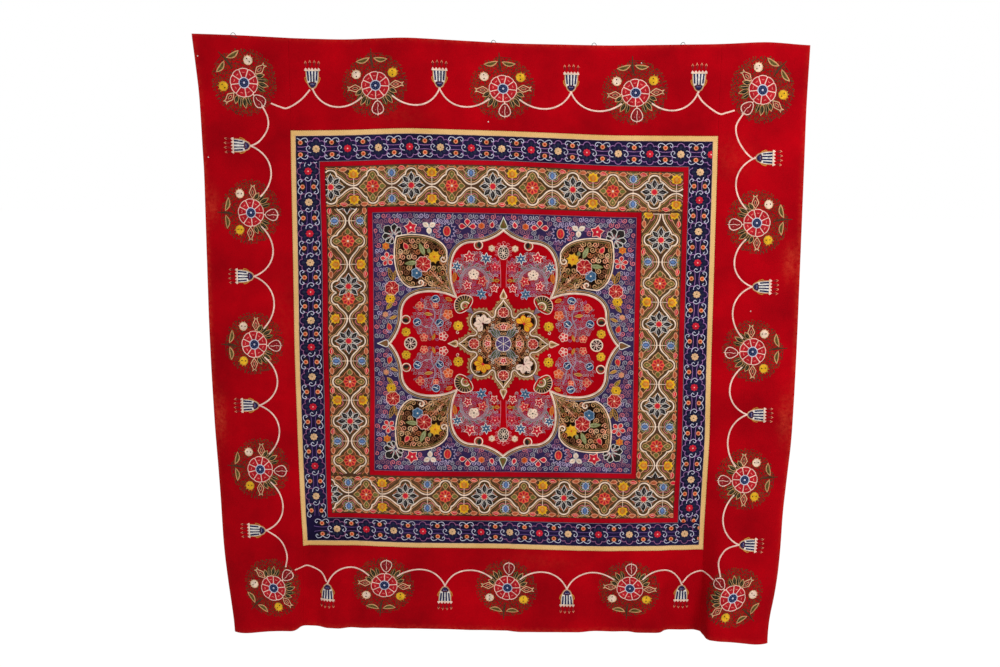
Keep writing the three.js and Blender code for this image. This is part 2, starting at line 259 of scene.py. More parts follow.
# The frame's origin is the plain cloth at the middle of the top edge, without the fine creases.
plainTop = -depthAt(np.array(0.0), np.array(float(edge["top"])))
topDrift = np.interp(0, [-square["halfWidth"], square["halfWidth"]], drift[-1][2:4])
topLift = np.interp(0, [row[0] for row in lift], [row[1] for row in lift])
topEdge = np.array([topDrift, float(plainTop), edge["top"] + topLift])


def onCloth(spots, height):
    places = readMap(clothPlaces, spots) + readMap(clothNormals, spots) * np.reshape(height, (-1, 1))
    return (places - topEdge) * mm


print("cloth map ready")


# Mesh building.

def makeMesh(name, points, faces, materials, faceSlots=None, maps=None):
    # faces is a list of arrays, one row per face; each map holds a place for every point
    counts = np.concatenate([np.full(len(f), f.shape[1]) for f in faces])
    corners = np.concatenate([f.ravel() for f in faces]).astype(np.int32)
    mesh = bpy.data.meshes.new(name)
    mesh.vertices.add(len(points))
    mesh.vertices.foreach_set("co", np.asarray(points, np.float32).ravel())
    mesh.loops.add(len(corners))
    mesh.loops.foreach_set("vertex_index", corners)
    mesh.polygons.add(len(counts))
    mesh.polygons.foreach_set("loop_start", (np.cumsum(counts) - counts).astype(np.int32))
    mesh.polygons.foreach_set("use_smooth", np.ones(len(counts), bool))
    for material in materials:
        mesh.materials.append(material)
    if faceSlots is not None:
        mesh.polygons.foreach_set("material_index", np.asarray(faceSlots, np.int32))
    for mapName, places in (maps or {}).items():
        layer = mesh.uv_layers.new(name=mapName, do_init=False)
        layer.uv.foreach_set("vector", places[corners].view(float).astype(np.float32))
    mesh.update(calc_edges=True)
    mesh.validate()
    piece = bpy.data.objects.new(name, mesh)
    bpy.context.scene.collection.objects.link(piece)
    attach(piece, "root")
    return piece


def turning(faces, spots):
    # twice the area of each triangle, below 0 where it runs clockwise
    a, b, c = (spots[faces[:, k]] for k in range(3))
    return ((b - a).conj() * (c - a)).imag


def facingOut(faces, spots):
    return np.where(turning(faces, spots)[:, None] < 0, faces[:, ::-1], faces)


def anticlockwise(loop):
    return loop if (loop.conj() * np.roll(loop, -1)).imag.sum() > 0 else loop[::-1]


def isInside(spots, loop):
    inside = np.zeros(len(spots), bool)
    for a, b in zip(loop, np.roll(loop, -1)):
        if a.imag != b.imag:
            crosses = (a.imag > spots.imag) != (b.imag > spots.imag)
            share = (spots.imag - a.imag) / (b.imag - a.imag)
            inside ^= crosses & (spots.real < a.real + share * (b.real - a.real))
    return inside


def isBetween(spots, outline, holes):
    keep = isInside(spots, outline)
    for hole in holes:
        keep &= ~isInside(spots, hole)
    return keep


def rimDistance(spots, loops):
    nearest = np.full(len(spots), 1e9)
    for loop in loops:
        for a, b in zip(loop, np.roll(loop, -1)):
            side = b - a
            share = np.clip(((spots - a) * side.conj()).real / max(abs(side) ** 2, 1e-9), 0, 1)
            nearest = np.minimum(nearest, np.abs(spots - a - share * side))
    return nearest


def insetLoop(loop, distance):
    # moves a loop to its left, which is inward on a loop that runs anticlockwise
    into, out = loop - np.roll(loop, 1), np.roll(loop, -1) - loop
    along = into / np.abs(into) + out / np.abs(out)
    return loop + 1j * along / np.abs(along) * distance


def orderedRims(faces):
    # the edges that only one face has, chained into closed loops
    known = {(int(a), int(b)) for k in range(3) for a, b in zip(faces[:, k], faces[:, (k + 1) % 3])}
    after = {a: b for a, b in known if (b, a) not in known}
    rims = []
    while after:
        start, at = next(iter(after.items()))
        rim = [start]
        del after[start]
        while at != start:
            rim.append(at)
            at = after.pop(at)
        rims.append(np.array(rim))
    return rims


# Colours and materials.

def linear(colour):
    parts = [int(colour[i : i + 2], 16) / 255 for i in (1, 3, 5)]
    return (*[p / 12.92 if p <= 0.04045 else ((p + 0.055) / 1.055) ** 2.4 for p in parts], 1.0)


def newMaterial(name):
    material = bpy.data.materials.new(name)
    material.use_nodes = True
    material.node_tree.nodes.clear()
    return material, material.node_tree


def addNode(tree, kind, inputs=None, **settings):
    # an input is a value of its own, or the output of another node
    node = tree.nodes.new("ShaderNode" + kind)
    for name, value in settings.items():
        setattr(node, name, value)
    for name, value in (inputs or {}).items():
        if isinstance(value, bpy.types.NodeSocket):
            tree.links.new(value, node.inputs[name])
        else:
            node.inputs[name].default_value = value
    return node


def noise(tree, place, scale, detail, roughness):
    inputs = {"Vector": place, "Scale": scale, "Detail": detail, "Roughness": roughness}
    return addNode(tree, "TexNoise", inputs).outputs["Fac"]


def ranged(tree, value, low, high, toLow=0.0, toHigh=1.0):
    inputs = {"Value": value, "From Min": low, "From Max": high, "To Min": toLow, "To Max": toHigh}
    return addNode(tree, "MapRange", inputs).outputs["Result"]


def mixed(tree, share, first, second, blend="MIX"):
    inputs = {"Factor": share, "A": first, "B": second}
    return addNode(tree, "Mix", inputs, data_type="RGBA", blend_type=blend).outputs["Result"]


def maths(tree, operation, *values, clamped=False):
    node = addNode(tree, "Math", dict(enumerate(values)), operation=operation, use_clamp=clamped)
    return node.outputs["Value"]


def finishWith(tree, look, colour, roughness, relief, tint):
    inputs = {"Height": relief, "Strength": look["bump"], "Distance": look["relief"]}
    shader = addNode(tree, "BsdfPrincipled", {
        "Base Color": colour, "Normal": addNode(tree, "Bump", inputs).outputs["Normal"],
        "Roughness": roughness, "Specular IOR Level": look["gloss"], "Sheen Weight": look["sheen"],
        "Sheen Roughness": look["soft"], "Sheen Tint": tint,
    })
    addNode(tree, "OutputMaterial", {"Surface": shader.outputs["BSDF"]})


# Wool colours: as dyed, its deeper shade, its faded shade.
woolColours = {
    "crimson": ("#AC000E", "#8A000B", "#C4402A"),
    "scarlet": ("#B0081A", "#8E0212", "#B8402E"),
    "yellow": ("#DDB67E", "#CCA263", "#E6CAA4"),
    "navy": ("#21183F", "#150F2A", "#32294F"),
    "taupe": ("#5A3D2C", "#3E281B", "#6E4E39"),
    "violet": ("#34284F", "#291F42", "#44365F"),
    "black": ("#23120A", "#150A05", "#35201A"),
}
woolLook = {"roughness": 0.96, "gloss": 0.04, "sheen": 0.02, "soft": 0.6, "blotches": 5.0,
            "speckles": 90.0, "naps": 620.0, "nap": 0.35, "twills": 420.0, "twill": 0.35, "bump": 0.5,
            "relief": 0.0004}


def woolMaterial(name):
    look = woolLook
    dyed, deep, faded = (linear(colour) for colour in woolColours[name])
    material, tree = newMaterial(name + "Wool")
    place = addNode(tree, "TexCoord").outputs["Object"]
    # slow, uneven fading over the whole cloth
    uneven = ranged(tree, noise(tree, place, look["blotches"], 4.0, 0.6), 0.35, 0.7)
    # faded patches, speckled
    patch = addNode(tree, "Attribute", attribute_name="faded").outputs["Fac"]
    speckle = ranged(tree, noise(tree, place, look["speckles"], 4.0, 0.7), 0.35, 0.65, 0.0, 1.6)
    worn = maths(tree, "MULTIPLY", patch, speckle, clamped=True)
    colour = mixed(tree, worn, mixed(tree, uneven, deep, dyed), faded)
    # matted nap of the fulled surface, with the twill faint under it
    nap = noise(tree, place, look["naps"], 3.0, 0.7)
    napTone = ranged(tree, nap, 0.3, 0.7, 1 - look["nap"] / 2, 1 + look["nap"] / 2)
    shade = mixed(tree, 1.0, colour, napTone, "MULTIPLY")
    inputs = {"Vector": place, "Scale": look["twills"], "Distortion": 3.0, "Detail": 2.0}
    twill = addNode(tree, "TexWave", inputs, bands_direction="DIAGONAL").outputs["Fac"]
    relief = maths(tree, "MULTIPLY_ADD", twill, look["twill"], nap)
    finishWith(tree, look, shade, look["roughness"], relief, dyed)
    return material


wool = {name: woolMaterial(name) for name in woolColours}
print("wool materials ready")


# Wool cloth.

clothSetup = {
    "thickness": 2,
    "across": 7,           # spacing of the fine sheet
    "up": 9,
    "rims": (1.2, 3.5),    # closer rows beside a seam
    "clear": 6,            # from a curved seam to the even grid
    "seamDip": 0.35,       # how far the cloth turns down at a seam
    "dipWidth": 1.4,
}
# Faded patches: across, up, wide, tall, how much.
fades = [
    (-846, -223, 18, 60, 0.4), (-845, 402, 16, 40, 0.32), (830, 259, 20, 46, 0.3),
    (833, -204, 18, 60, 0.32), (-868, 0, 9, 900, 0.35), (858, 0, 9, 900, 0.3), (0, -886, 900, 9, 0.3),
    (0, 872, 900, 7, 0.25), (-640, 60, 40, 120, 0.05), (650, 560, 60, 50, 0.08),
    (120, -660, 120, 30, 0.06), (-300, 660, 90, 26, 0.06),
]


def stops(low, high, spacing):
    # even stops with a few close to both ends, where the cloth turns down into the seam
    rims = np.array(clothSetup["rims"])
    inside = np.linspace(low, high, max(int(round((high - low) / spacing)), 1) + 1)[1:-1]
    inside = inside[(inside > low + rims[-1] + 1) & (inside < high - rims[-1] - 1)]
    return np.concatenate([[low], low + rims, inside, high - rims[::-1], [high]])


def closeSheet(name, spots, inFromRim, front, rims, dye, size):
    # both faces of a sheet and the edge between them
    dip = clothSetup["seamDip"] * np.exp(-((inFromRim / clothSetup["dipWidth"]) ** 2))
    heights = clothSetup["thickness"] / 2 - dip
    count = len(spots)
    points = np.concatenate([onCloth(spots, heights), onCloth(spots, -heights)])
    sides = []
    for rim in rims:
        after = np.roll(rim, -1)
        sides.append(np.stack([rim, rim + count, after + count, after], axis=1))
    piece = makeMesh("cloth_" + name, points, [front, front[:, ::-1] + count, *sides], [wool[dye]])
    share = sum(much * mound(spots.real, spots.imag, *where) for *where, much in fades)
    faded = piece.data.attributes.new("faded", "FLOAT", "POINT")
    faded.data.foreach_set("value", np.tile(np.clip(share, 0, 1), 2).astype(np.float32))
    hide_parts(name)


def clothStrip(name, left, right, bottom, top, dye):
    columns, rows = stops(left, right, clothSetup["across"]), stops(bottom, top, clothSetup["up"])
    spots = (columns + 1j * rows[:, None]).ravel()
    x, y = spots.real, spots.imag
    inFromRim = np.minimum.reduce([x - left, right - x, y - bottom, top - y])
    index = np.arange(len(spots)).reshape(len(rows), len(columns))
    front = np.stack([index[:-1, :-1], index[:-1, 1:], index[1:, 1:], index[1:, :-1]], axis=-1).reshape(-1, 4)
    rim = np.concatenate([index[0, :], index[1:, -1], index[-1, -2::-1], index[-2:0:-1, 0]])
    closeSheet(name, spots, inFromRim, front, [rim], dye, complex(right - left, top - bottom))


def outlineSheet(name, outline, holes, dye):
    # a sheet with a curved outline, filled with an even grid inside it
    loops = [outline, *holes]
    low, high = (complex(end(outline.real), end(outline.imag)) for end in (min, max))
    columns = np.arange(low.real, high.real, clothSetup["across"])
    grid = (columns + 1j * np.arange(low.imag, high.imag, clothSetup["up"])[:, None]).ravel()
    near = [insetLoop(outline, inset) for inset in clothSetup["rims"]]
    near += [insetLoop(hole, -inset) for hole in holes for inset in clothSetup["rims"]]
    grid = np.concatenate([*near, grid[rimDistance(grid, loops) > clothSetup["clear"]]])
    spots = np.concatenate([*loops, grid[isBetween(grid, outline, holes)]])
    edges, start = [], 0
    for loop in loops:
        edges += [(start + i, start + (i + 1) % len(loop)) for i in range(len(loop))]
        start += len(loop)
    found = delaunay_2d_cdt([Vector((z.real, z.imag)) for z in spots], edges, [], 0, 1e-4)
    spots = np.array([complex(*p) for p in found[0]])
    faces = np.array([f for f in found[2] if len(f) == 3])
    faces = faces[isBetween(spots[faces].mean(axis=1), outline, holes)]
    used, faces = np.unique(faces, return_inverse=True)
    spots, faces = spots[used], faces.reshape(-1, 3)
    faces = facingOut(faces, spots)
    area = turning(faces, spots).sum() / 2 * mm * mm
    closeSheet(name, spots, rimDistance(spots, loops), faces, orderedRims(faces), dye, high - low)


# Shapes as rows of places.

def polar(radius, degrees):
    return radius * np.exp(1j * np.radians(degrees))


def circle(centre, radius, count=20, start=0):
    return centre + radius * np.exp(1j * (np.radians(start) + 2 * np.pi * np.arange(count) / count))


def arc(centre, radius, start, end, count=8):
    return centre + polar(radius, np.linspace(start, end, count))


def bend(a, b, c, d, count=10):
    t = np.linspace(0, 1, count)
    return (1 - t) ** 3 * a + 3 * (1 - t) ** 2 * t * b + 3 * (1 - t) * t * t * c + t**3 * d


def bends(start, curves, count):
    # one curve after another, each by its two handles and its end
    row = [start]
    for curve in curves:
        row.extend(bend(row[-1], *curve, count)[1:])
    return np.array(row)


def stretched(points, across, up):
    return points.real * across + 1j * points.imag * up


def frameLoop(halfWidth, halfHeight, step):
    # places at even steps round a square frame
    corners = [complex(halfWidth * x, halfHeight * y) for x, y in ((-1, -1), (1, -1), (1, 1), (-1, 1))]
    sides = zip(corners, corners[1:] + corners[:1])
    return np.concatenate([np.linspace(a, b, int(abs(b - a) / step) + 1)[:-1] for a, b in sides])


# The cloth pieces, cut as the frame has them. The frames go from the outside in.
frames = [    # width of the sides, width of the ends, wool
    ("yellow_band", 15, 16, "yellow"),
    ("navy_border", 66, 73, "navy"),
    ("outer_stripe", 14, 14, "scarlet"),
    ("taupe_border", 117, 119, "taupe"),
    ("inner_stripe", 14, 15, "scarlet"),
]
petal = {"apex": 338j, "shoulder": -88 + 302j, "widest": -156 + 215j, "notch": 138 * (-1 + 1j)}
leaf = {"tip": 314 * (1 + 1j), "wide": 163 + 258j, "tuck": 12 * (1 + 1j), "notch": 138 * (1 + 1j)}
medallion = {"point": 131j, "notch": 35 + 78j, "lobeMiddle": 66 * (1 + 1j), "lobeRadius": 31}


def mirrored(half, way):
    # a half and its mirror image: way is -1 for the upright axis and 1j for the slanting one
    return np.concatenate([half, way * half[-2::-1].conj()])[:-1]


def fourTimes(quarter):
    return np.concatenate([quarter * turn for turn in (1, -1j, -1, 1j)])


def crossOutline():
    side = bends(petal["notch"], [
        (-150 + 160j, petal["widest"] - 30j, petal["widest"]),
        (petal["widest"] + 47j, petal["shoulder"] - 48, petal["shoulder"]),
        (petal["shoulder"] + 40, petal["apex"] - 14 - 14j, petal["apex"]),
    ], 15)
    return anticlockwise(fourTimes(mirrored(side, -1)))


def leafOutline():
    tail = leaf["notch"] + (leaf["wide"] - leaf["tuck"] - leaf["notch"]) * np.linspace(0, 1, 12)
    bulge = bend(leaf["wide"], 166 + 326j, 275 + 326j, leaf["tip"], 27)
    return anticlockwise(mirrored(np.concatenate([tail, bulge]), 1j))


def medallionOutline():
    ogee = bends(medallion["point"], [
        (10 + 112j, 24 + 106j, 24 + 92j),
        (24 + 84j, medallion["notch"] - 9, medallion["notch"]),
    ], 9)
    lobe = arc(medallion["lobeMiddle"], medallion["lobeRadius"], 150, 45, 9)
    return anticlockwise(fourTimes(mirrored(np.concatenate([ogee, lobe]), 1j)))


cross, cornerLeaf, centre = crossOutline(), leafOutline(), medallionOutline()
leaves = {name: anticlockwise(stretched(cornerLeaf, x, y)) for name, x, y in (
    ("top_left", -1, 1), ("top_right", 1, 1), ("bottom_left", -1, -1), ("bottom_right", 1, -1))}


def makeCloth():
    w, h = square["halfWidth"], square["halfHeight"]
    clothStrip("border_left", edge["left"], -w, edge["bottom"], edge["top"], "crimson")
    clothStrip("border_right", w, edge["right"], edge["bottom"], edge["top"], "crimson")
    clothStrip("border_top", -w, w, h, edge["top"], "crimson")
    clothStrip("border_bottom", -w, w, edge["bottom"], -h, "crimson")
    for name, side, end, dye in frames:
        innerW, innerH = w - side, h - end
        clothStrip(name + "_top", -w, w, innerH, h, dye)
        clothStrip(name + "_bottom", -w, w, -h, -innerH, dye)
        clothStrip(name + "_left", -w, -innerW, -innerH, innerH, dye)
        clothStrip(name + "_right", innerW, w, -innerH, innerH, dye)
        w, h = innerW, innerH
    for name, outline in leaves.items():
        outlineSheet("leaf_" + name, outline, [cross], "black")
    outlineSheet("field", frameLoop(w, h, 2 * w / 80), [cross, *leaves.values()], "violet")
    outlineSheet("petals", cross, [centre], "crimson")
    outlineSheet("medallion", centre, [], "black")


makeCloth()
print("cloth sheets ready")


# Silk chain stitch. A drawing is a list of strokes in local millimetres. Heights are above the
# face of the cloth.
silkColours = {
    "cream": "#F0D6C0", "pink": "#FACEC0", "rose": "#D9737C", "salmon": "#F08078", "peach": "#E79B78",
    "tan": "#CD9A6A", "sand": "#E3B98F", "rust": "#B8683F", "yellow": "#E9B41C", "gold": "#CC9436",
    "orange": "#DB5A1E", "vermilion": "#DE6A3C", "red": "#CF1730", "crimson": "#B40A1C",
    "deepRed": "#86070F", "wine": "#5E0A14", "navy": "#1B1C4C", "ink": "#141C38", "blue": "#3C6486",
    "paleBlue": "#A3B4CB", "steel": "#5F7FB4", "white": "#E2DED8", "grey": "#9C98A4",
    "silver": "#C4C6DA", "smoke": "#7E7480", "violet": "#674A86", "orchid": "#9A6CA4",
    "mauve": "#945C86", "dusk": "#8E5A6E", "plum": "#74405C", "lilac": "#B3A1C4", "olive": "#6B6026",
    "moss": "#4E3C14", "green": "#6E8246", "sage": "#98A070", "darkGreen": "#243E24",
    "brown": "#79492B", "bark": "#452A16", "black": "#18100D", "slate": "#4C484A",
}
silkLook = {
    "stitch": 2.4,       # length of one chain, mm
    "row": 1.4,          # width of one row of chain, mm
    "thick": 0.65,       # how far the middle of a row stands over its sides, mm
    "roughness": (0.45, 0.7),
    "gloss": 0.08,
    "sheen": 0.03,
    "soft": 0.4,
    "bump": 0.6,
    "relief": 0.0003,
    # painted shade between the loops of chain, multiplied into the dye
    "gapShadeColour": (0.62, 0.6, 0.6, 1),
    "worn": 0.72,        # shades of the uneven dye
    "bright": 1.12,
    "blotches": 55.0,
    "chevron": 1.2,      # how far the sides of a row lie under its middle
    "rings": (1, 0.8, 0.35),     # shares of a filled shape, from its rim inward
}


def silkMaterial(name):
    look = silkLook
    dyed = linear(silkColours[name])[:3]
    worn = (*(look["worn"] * part for part in dyed), 1.0)
    bright = (*(min(1.0, look["bright"] * part + 0.01) for part in dyed), 1.0)
    material, tree = newMaterial("silk" + name[0].upper() + name[1:])
    # each row of chain is a string of V shaped loops
    rows = addNode(tree, "UVMap", uv_map="stitch").outputs["UV"]
    parts = addNode(tree, "SeparateXYZ", {"Vector": rows}).outputs
    fromMiddle = maths(tree, "SUBTRACT", maths(tree, "FRACT", parts["Y"]), 0.5)
    fromMiddle = maths(tree, "ABSOLUTE", fromMiddle)
    phase = maths(tree, "MULTIPLY", maths(tree, "ADD", parts["X"], fromMiddle), 2 * math.pi)
    loops = maths(tree, "MULTIPLY", maths(tree, "COSINE", phase), 0.5)
    relief = maths(tree, "SUBTRACT", loops, maths(tree, "MULTIPLY", fromMiddle, look["chevron"]))
    # uneven dye, and painted shade darker between the loops
    uneven = noise(tree, addNode(tree, "TexCoord").outputs["Object"], look["blotches"], 2.0, 0.6)
    dye = mixed(tree, ranged(tree, uneven, 0.3, 0.7), worn, bright)
    # painted shade: the colour is darkened where the relief is low, between the loops and at the sides of a
    # row
    paintedGapShade = maths(tree, "MULTIPLY", maths(tree, "SUBTRACT", 0.4, relief), 0.45)
    colour = mixed(tree, paintedGapShade, dye, look["gapShadeColour"], "MULTIPLY")
    finishWith(tree, look, colour, ranged(tree, uneven, 0.0, 1.0, *look["roughness"]), relief, bright)
    return material


silk = {name: silkMaterial(name) for name in silkColours}


def through(points, closed=False, count=5):
    # a smooth curve through the points
    p = np.asarray(points, complex)
    if closed:
        before, first, second, after = (np.roll(p, k) for k in (1, 0, -1, -2))
    else:
        padded = np.concatenate([[2 * p[0] - p[1]], p, [2 * p[-1] - p[-2]]])
        before, first, second, after = padded[:-3], padded[1:-2], padded[2:-1], padded[3:]
    t = (np.arange(count) / count)[:, None]
    sway = (2 * before - 5 * first + 4 * second - after) * t**2
    turn = (3 * first - before - 3 * second + after) * t**3
    curve = (0.5 * (2 * first + (second - before) * t + sway + turn)).T.ravel()
    return curve if closed else np.append(curve, p[-1])


def spiral(centre, radius, start, turns, count=12, inner=0.15):
    # winds inward from its start angle; negative turns go clockwise
    t = np.linspace(0, 1, count)
    return centre + radius * (1 - (1 - inner) * t) * polar(1, start + 360 * turns * t)


def leafShape(base, tip, width, count=6, fullness=0.5, curl=0.0):
    # a leaf from base to tip, widest at its fullness, bent to one side by its curl
    t = np.linspace(0, 1, count + 1)
    span = tip - base
    side = 1j * span / abs(span)
    half = side * width / 2 * np.sin(np.pi * t ** (math.log(0.5) / math.log(fullness))) ** 0.85
    spine = base + span * t + side * curl * np.sin(np.pi * t)
    return np.concatenate([spine + half, (spine - half)[-2:0:-1]])


def lobedShape(centre, inner, outer, lobes, start=90, roundness=1.0, count=6):
    # round petals about a centre
    turn = np.arange(lobes * count) / (lobes * count) * 360
    wave = np.abs(np.cos(np.radians(turn) * lobes / 2)) ** roundness
    return centre + polar(inner + (outer - inner) * wave, turn + start)


def starShape(centre, inner, outer, points, start=90):
    turn = np.arange(points * 2) / points * 180
    return centre + polar(np.where(np.arange(points * 2) % 2 == 0, outer, inner), turn + start)


# Strokes.

def line(points, width, colour, height=0.6, closed=False):
    return ("line", np.asarray(points, complex), width, colour, height, closed)


def loop(points, width, colour, height=1.2):
    return line(points, width, colour, height, True)


def fill(points, colour, height=0.6, centre=None):
    points = np.asarray(points, complex)
    return ("fill", points, points.mean() if centre is None else centre, colour, height, True)


def dot(centre, radius, colour, height=1.3, count=8):
    return fill(circle(centre, radius, count), colour, height)


def edged(points, inside, rim, width=2.2, height=0.6):
    return [fill(points, inside, height), loop(points, width, rim, height + 0.6)]


def curl(way, points, width, colour, height):
    # a line on the right side, or its mirror image on the left
    return line(through(stretched(np.array(points), way, 1)), width, colour, height)


def runsOf(inside):
    # where each unbroken run starts and ends
    ends = np.flatnonzero(np.diff(np.concatenate([[0], inside.astype(int), [0]])))
    return zip(ends[::2], ends[1::2])


def clipped(drawing, left, right, bottom, top):
    # what lies inside a strip: lines are broken at its edges, fills pressed to them
    kept = []
    for kind, points, middle, colour, height, closed in drawing:
        inside = (points.real > left) & (points.real < right) & (points.imag > bottom) & (points.imag < top)
        if inside.all():
            kept.append((kind, points, middle, colour, height, closed))
        elif kind == "fill" and inside.any():
            points = np.clip(points.real, left, right) + 1j * np.clip(points.imag, bottom, top)
            kept.append(fill(points, colour, height))
        elif inside.any():
            start = np.argmin(inside) if closed else 0
            points, inside = np.roll(points, -start), np.roll(inside, -start)
            for first, last in runsOf(inside):
                if last - first > 1:
                    width = middle[first:last] if np.ndim(middle) else middle
                    kept.append(line(points[first:last], width, colour, height))
    return kept


def redrawn(drawing, change, wider=1.0, lift=0.0):
    # the same strokes with every place changed
    placed = []
    for kind, points, middle, colour, height, closed in drawing:
        middle = middle * wider if kind == "line" else change(middle)
        placed.append((kind, change(points), middle, colour, height + lift, closed))
    return placed


def lay(drawing, at=0, turn=0, size=1.0, flip=False, lift=0.0):
    def change(points):
        return at + (-np.conj(points) if flip else points) * size * np.exp(1j * math.radians(turn))
    return redrawn(drawing, change, size, lift)


def alongStrip(drawing, side, level, half, reach):
    # a strip's drawing, made lying level, cut to the strip and laid in its place
    drawing = clipped(drawing, -reach, reach, -half, half)
    return lay(drawing, level, 90) if side in ("left", "right") else lay(drawing, 1j * level)


def lineMesh(points, width, height, closed):
    # a row of chain as a low roof: both sides and a raised middle
    if closed:
        before, after = np.roll(points, 1), np.roll(points, -1)
    else:
        before = np.append(points[:1] * 2 - points[1:2], points[:-1])
        after = np.append(points[1:], points[-1:] * 2 - points[-2:-1])
    into, out = points - before, after - points
    into = into / np.maximum(np.abs(into), 1e-6)
    out = out / np.maximum(np.abs(out), 1e-6)
    along = into + out
    size = np.abs(along)
    along = np.where(size > 0.2, along / np.maximum(size, 1e-6), into)
    side = 1j * along / np.clip(size / 2, 0.6, 1) * np.asarray(width) / 2
    count = len(points)
    rings = np.stack([points + side, points, points - side], axis=1)
    heights = np.tile([height - silkLook["thick"], height, height - silkLook["thick"]], count)
    run = np.append(0, np.cumsum(np.abs(np.diff(points)))) / silkLook["stitch"]
    rows = np.max(width) / silkLook["row"] / 2
    stitch = np.repeat(run, 3) + 1j * np.tile([rows + 0.5, 0.5, 0.5 - rows], count)
    index = np.arange(count * 3).reshape(count, 3)
    after = np.roll(index, -1, axis=0)
    if not closed:
        index, after = index[:-1], after[:-1]
    quads = [np.stack([index[:, k], index[:, k + 1], after[:, k + 1], after[:, k]], axis=1) for k in (0, 1)]
    return rings.ravel(), heights, stitch, np.concatenate(quads)


def fillMesh(points, centre, height):
    # rows of chain laid round and round: a low cushion with its rim sunk in the cloth
    points = anticlockwise(points)
    count = len(points)
    places = np.concatenate([centre + (points - centre) * share for share in silkLook["rings"]])
    heights = np.repeat([height - silkLook["thick"], height, height + 0.1], count)
    radius = np.abs(points - centre)
    around = np.arange(count) / count * 2 * np.pi * radius.mean() / silkLook["stitch"]
    inward = np.concatenate([radius * share for share in silkLook["rings"]])
    stitch = np.tile(around, 3) + 1j * inward / silkLook["row"]
    index = np.arange(count)
    after = np.roll(index, -1)
    quads = np.stack([index, after, after + count, index + count], axis=1)
    return places, heights, stitch, np.concatenate([quads, quads + count])


def spread(places):
    # the same places spread over a unit square
    return ((places.real - places.real.min()) / np.ptp(places.real)
            + 1j * (places.imag - places.imag.min()) / np.ptp(places.imag))


def sew(name, drawing, face=1):
    # one mesh of a whole drawing, the lowest strokes first; face is -1 for the back of the cloth
    drawing = sorted(drawing, key=lambda stroke: stroke[4])
    colours = sorted({stroke[3] for stroke in drawing})
    meshes, quads, fans = [], [], []
    quadSlots, fanSlots = [], []
    start = 0
    for kind, points, middle, colour, height, closed in drawing:
        slot = colours.index(colour)
        if kind == "line":
            parts = lineMesh(points, middle, height, closed)
        else:
            parts = fillMesh(points, middle, height)
            cap = np.arange(2 * len(points), 3 * len(points)) + start
            fans.append(np.stack([np.full(len(cap) - 2, cap[0]), cap[1:-1], cap[2:]], axis=1))
            fanSlots += [slot] * (len(cap) - 2)
        meshes.append(parts[:3])
        quads.append(parts[3] + start)
        quadSlots += [slot] * len(parts[3])
        start += len(parts[0])
    places, heights, stitches = (np.concatenate(parts) for parts in zip(*meshes))
    points = onCloth(places, face * (heights + clothSetup["thickness"] / 2))
    faces = [facingOut(np.concatenate(group), places)[:, ::face] for group in (quads, fans) if group]
    maps = {"OFBake": spread(places), "stitch": stitches}
    piece = makeMesh(name, points, faces, [silk[c] for c in colours], quadSlots + fanSlots, maps)
    triangles = 2 * len(faces[0]) + sum(len(f) for f in faces[1:])
    print(f"{name}: {len(drawing)} strokes, {triangles} triangles")


# The red border: a flower spray, a cup of flames and a vine, in turn.
# Sprays and cups are drawn with the panel's edge above them.
sprayPlaces = {     # place, turn, how far the pair of leaves stands aside
    "top": [(-738 + 746j, 45, 0), (-364 + 743j, 0, 0), (-2 + 743j, 0, 0), (374 + 741j, 0, 0),
            (731 + 745j, -45, 0)],
    "left": [(-731 + 385j, 90, 12), (-730 + 0j, 90, 12), (-728 - 382j, 90, 0)],
    "right": [(728 + 374j, -90, 0), (729 - 5j, -90, 0), (723 - 395j, -90, 0)],
    "bottom": [(-711 - 748j, 135, 0), (-359 - 746j, 180, 0), (14 - 747j, 180, 0), (385 - 744j, 180, 0),
               (721 - 751j, -135, 0)],
}
cupPlaces = {
    "top": [-544 + 775j, -182 + 776j, 191 + 779j, 550 + 783j],
    "left": [-766 + 575j, -765 + 201j, -761 - 185j, -761 - 569j],
    "right": [757 + 560j, 760 + 188j, 758 - 195j, 759 - 591j],
    "bottom": [-532 - 783j, -175 - 784j, 194 - 785j, 547 - 776j],
}
outwardTurn = {"top": 0, "left": 90, "bottom": 180, "right": -90}
spray = {
    "spokes": (-165, -130, -90, -52, -5, 37, 78, 115, 155),
    "rosette": 39.5,
    "hub": 14.5,
    "fans": (((-156, -142, -128, -114), 8), ((-20, -34, -48, -62), -4)),   # tips, lean of the roots
    "leaves": (64, 70, 71, 66),
    "size": (0.985, 0.94),    # along the border, across it
}
lace = {"from": 45, "to": 94, "pitch": 5.25, "step": 5.2, "reach": 2.35, "width": 1.83, "ragged": 0.4,
        "rim": 7, "seed": 17, "colours": ("bark", "moss", "bark", "wine", "bark", "moss")}


def laceRoundel():
    # broken rows of small crescents, ragged at the rim
    rng = np.random.default_rng(lace["seed"])
    strokes = []
    for radius in np.arange(lace["from"], lace["to"] + 1, lace["pitch"]):
        for turn in np.arange(0, 360, math.degrees(lace["step"] / radius)):
            if radius > lace["to"] - lace["rim"] and rng.random() < lace["ragged"]:
                continue
            at = polar(radius + rng.normal(0, 1.0), turn + rng.normal(0, 1.0)) - 1.5
            start = rng.uniform(0, 360)
            crescent = arc(at, lace["reach"], start, start + 190, 4)
            strokes.append(line(crescent, lace["width"], lace["colours"][rng.integers(6)], 0.6))
    return strokes


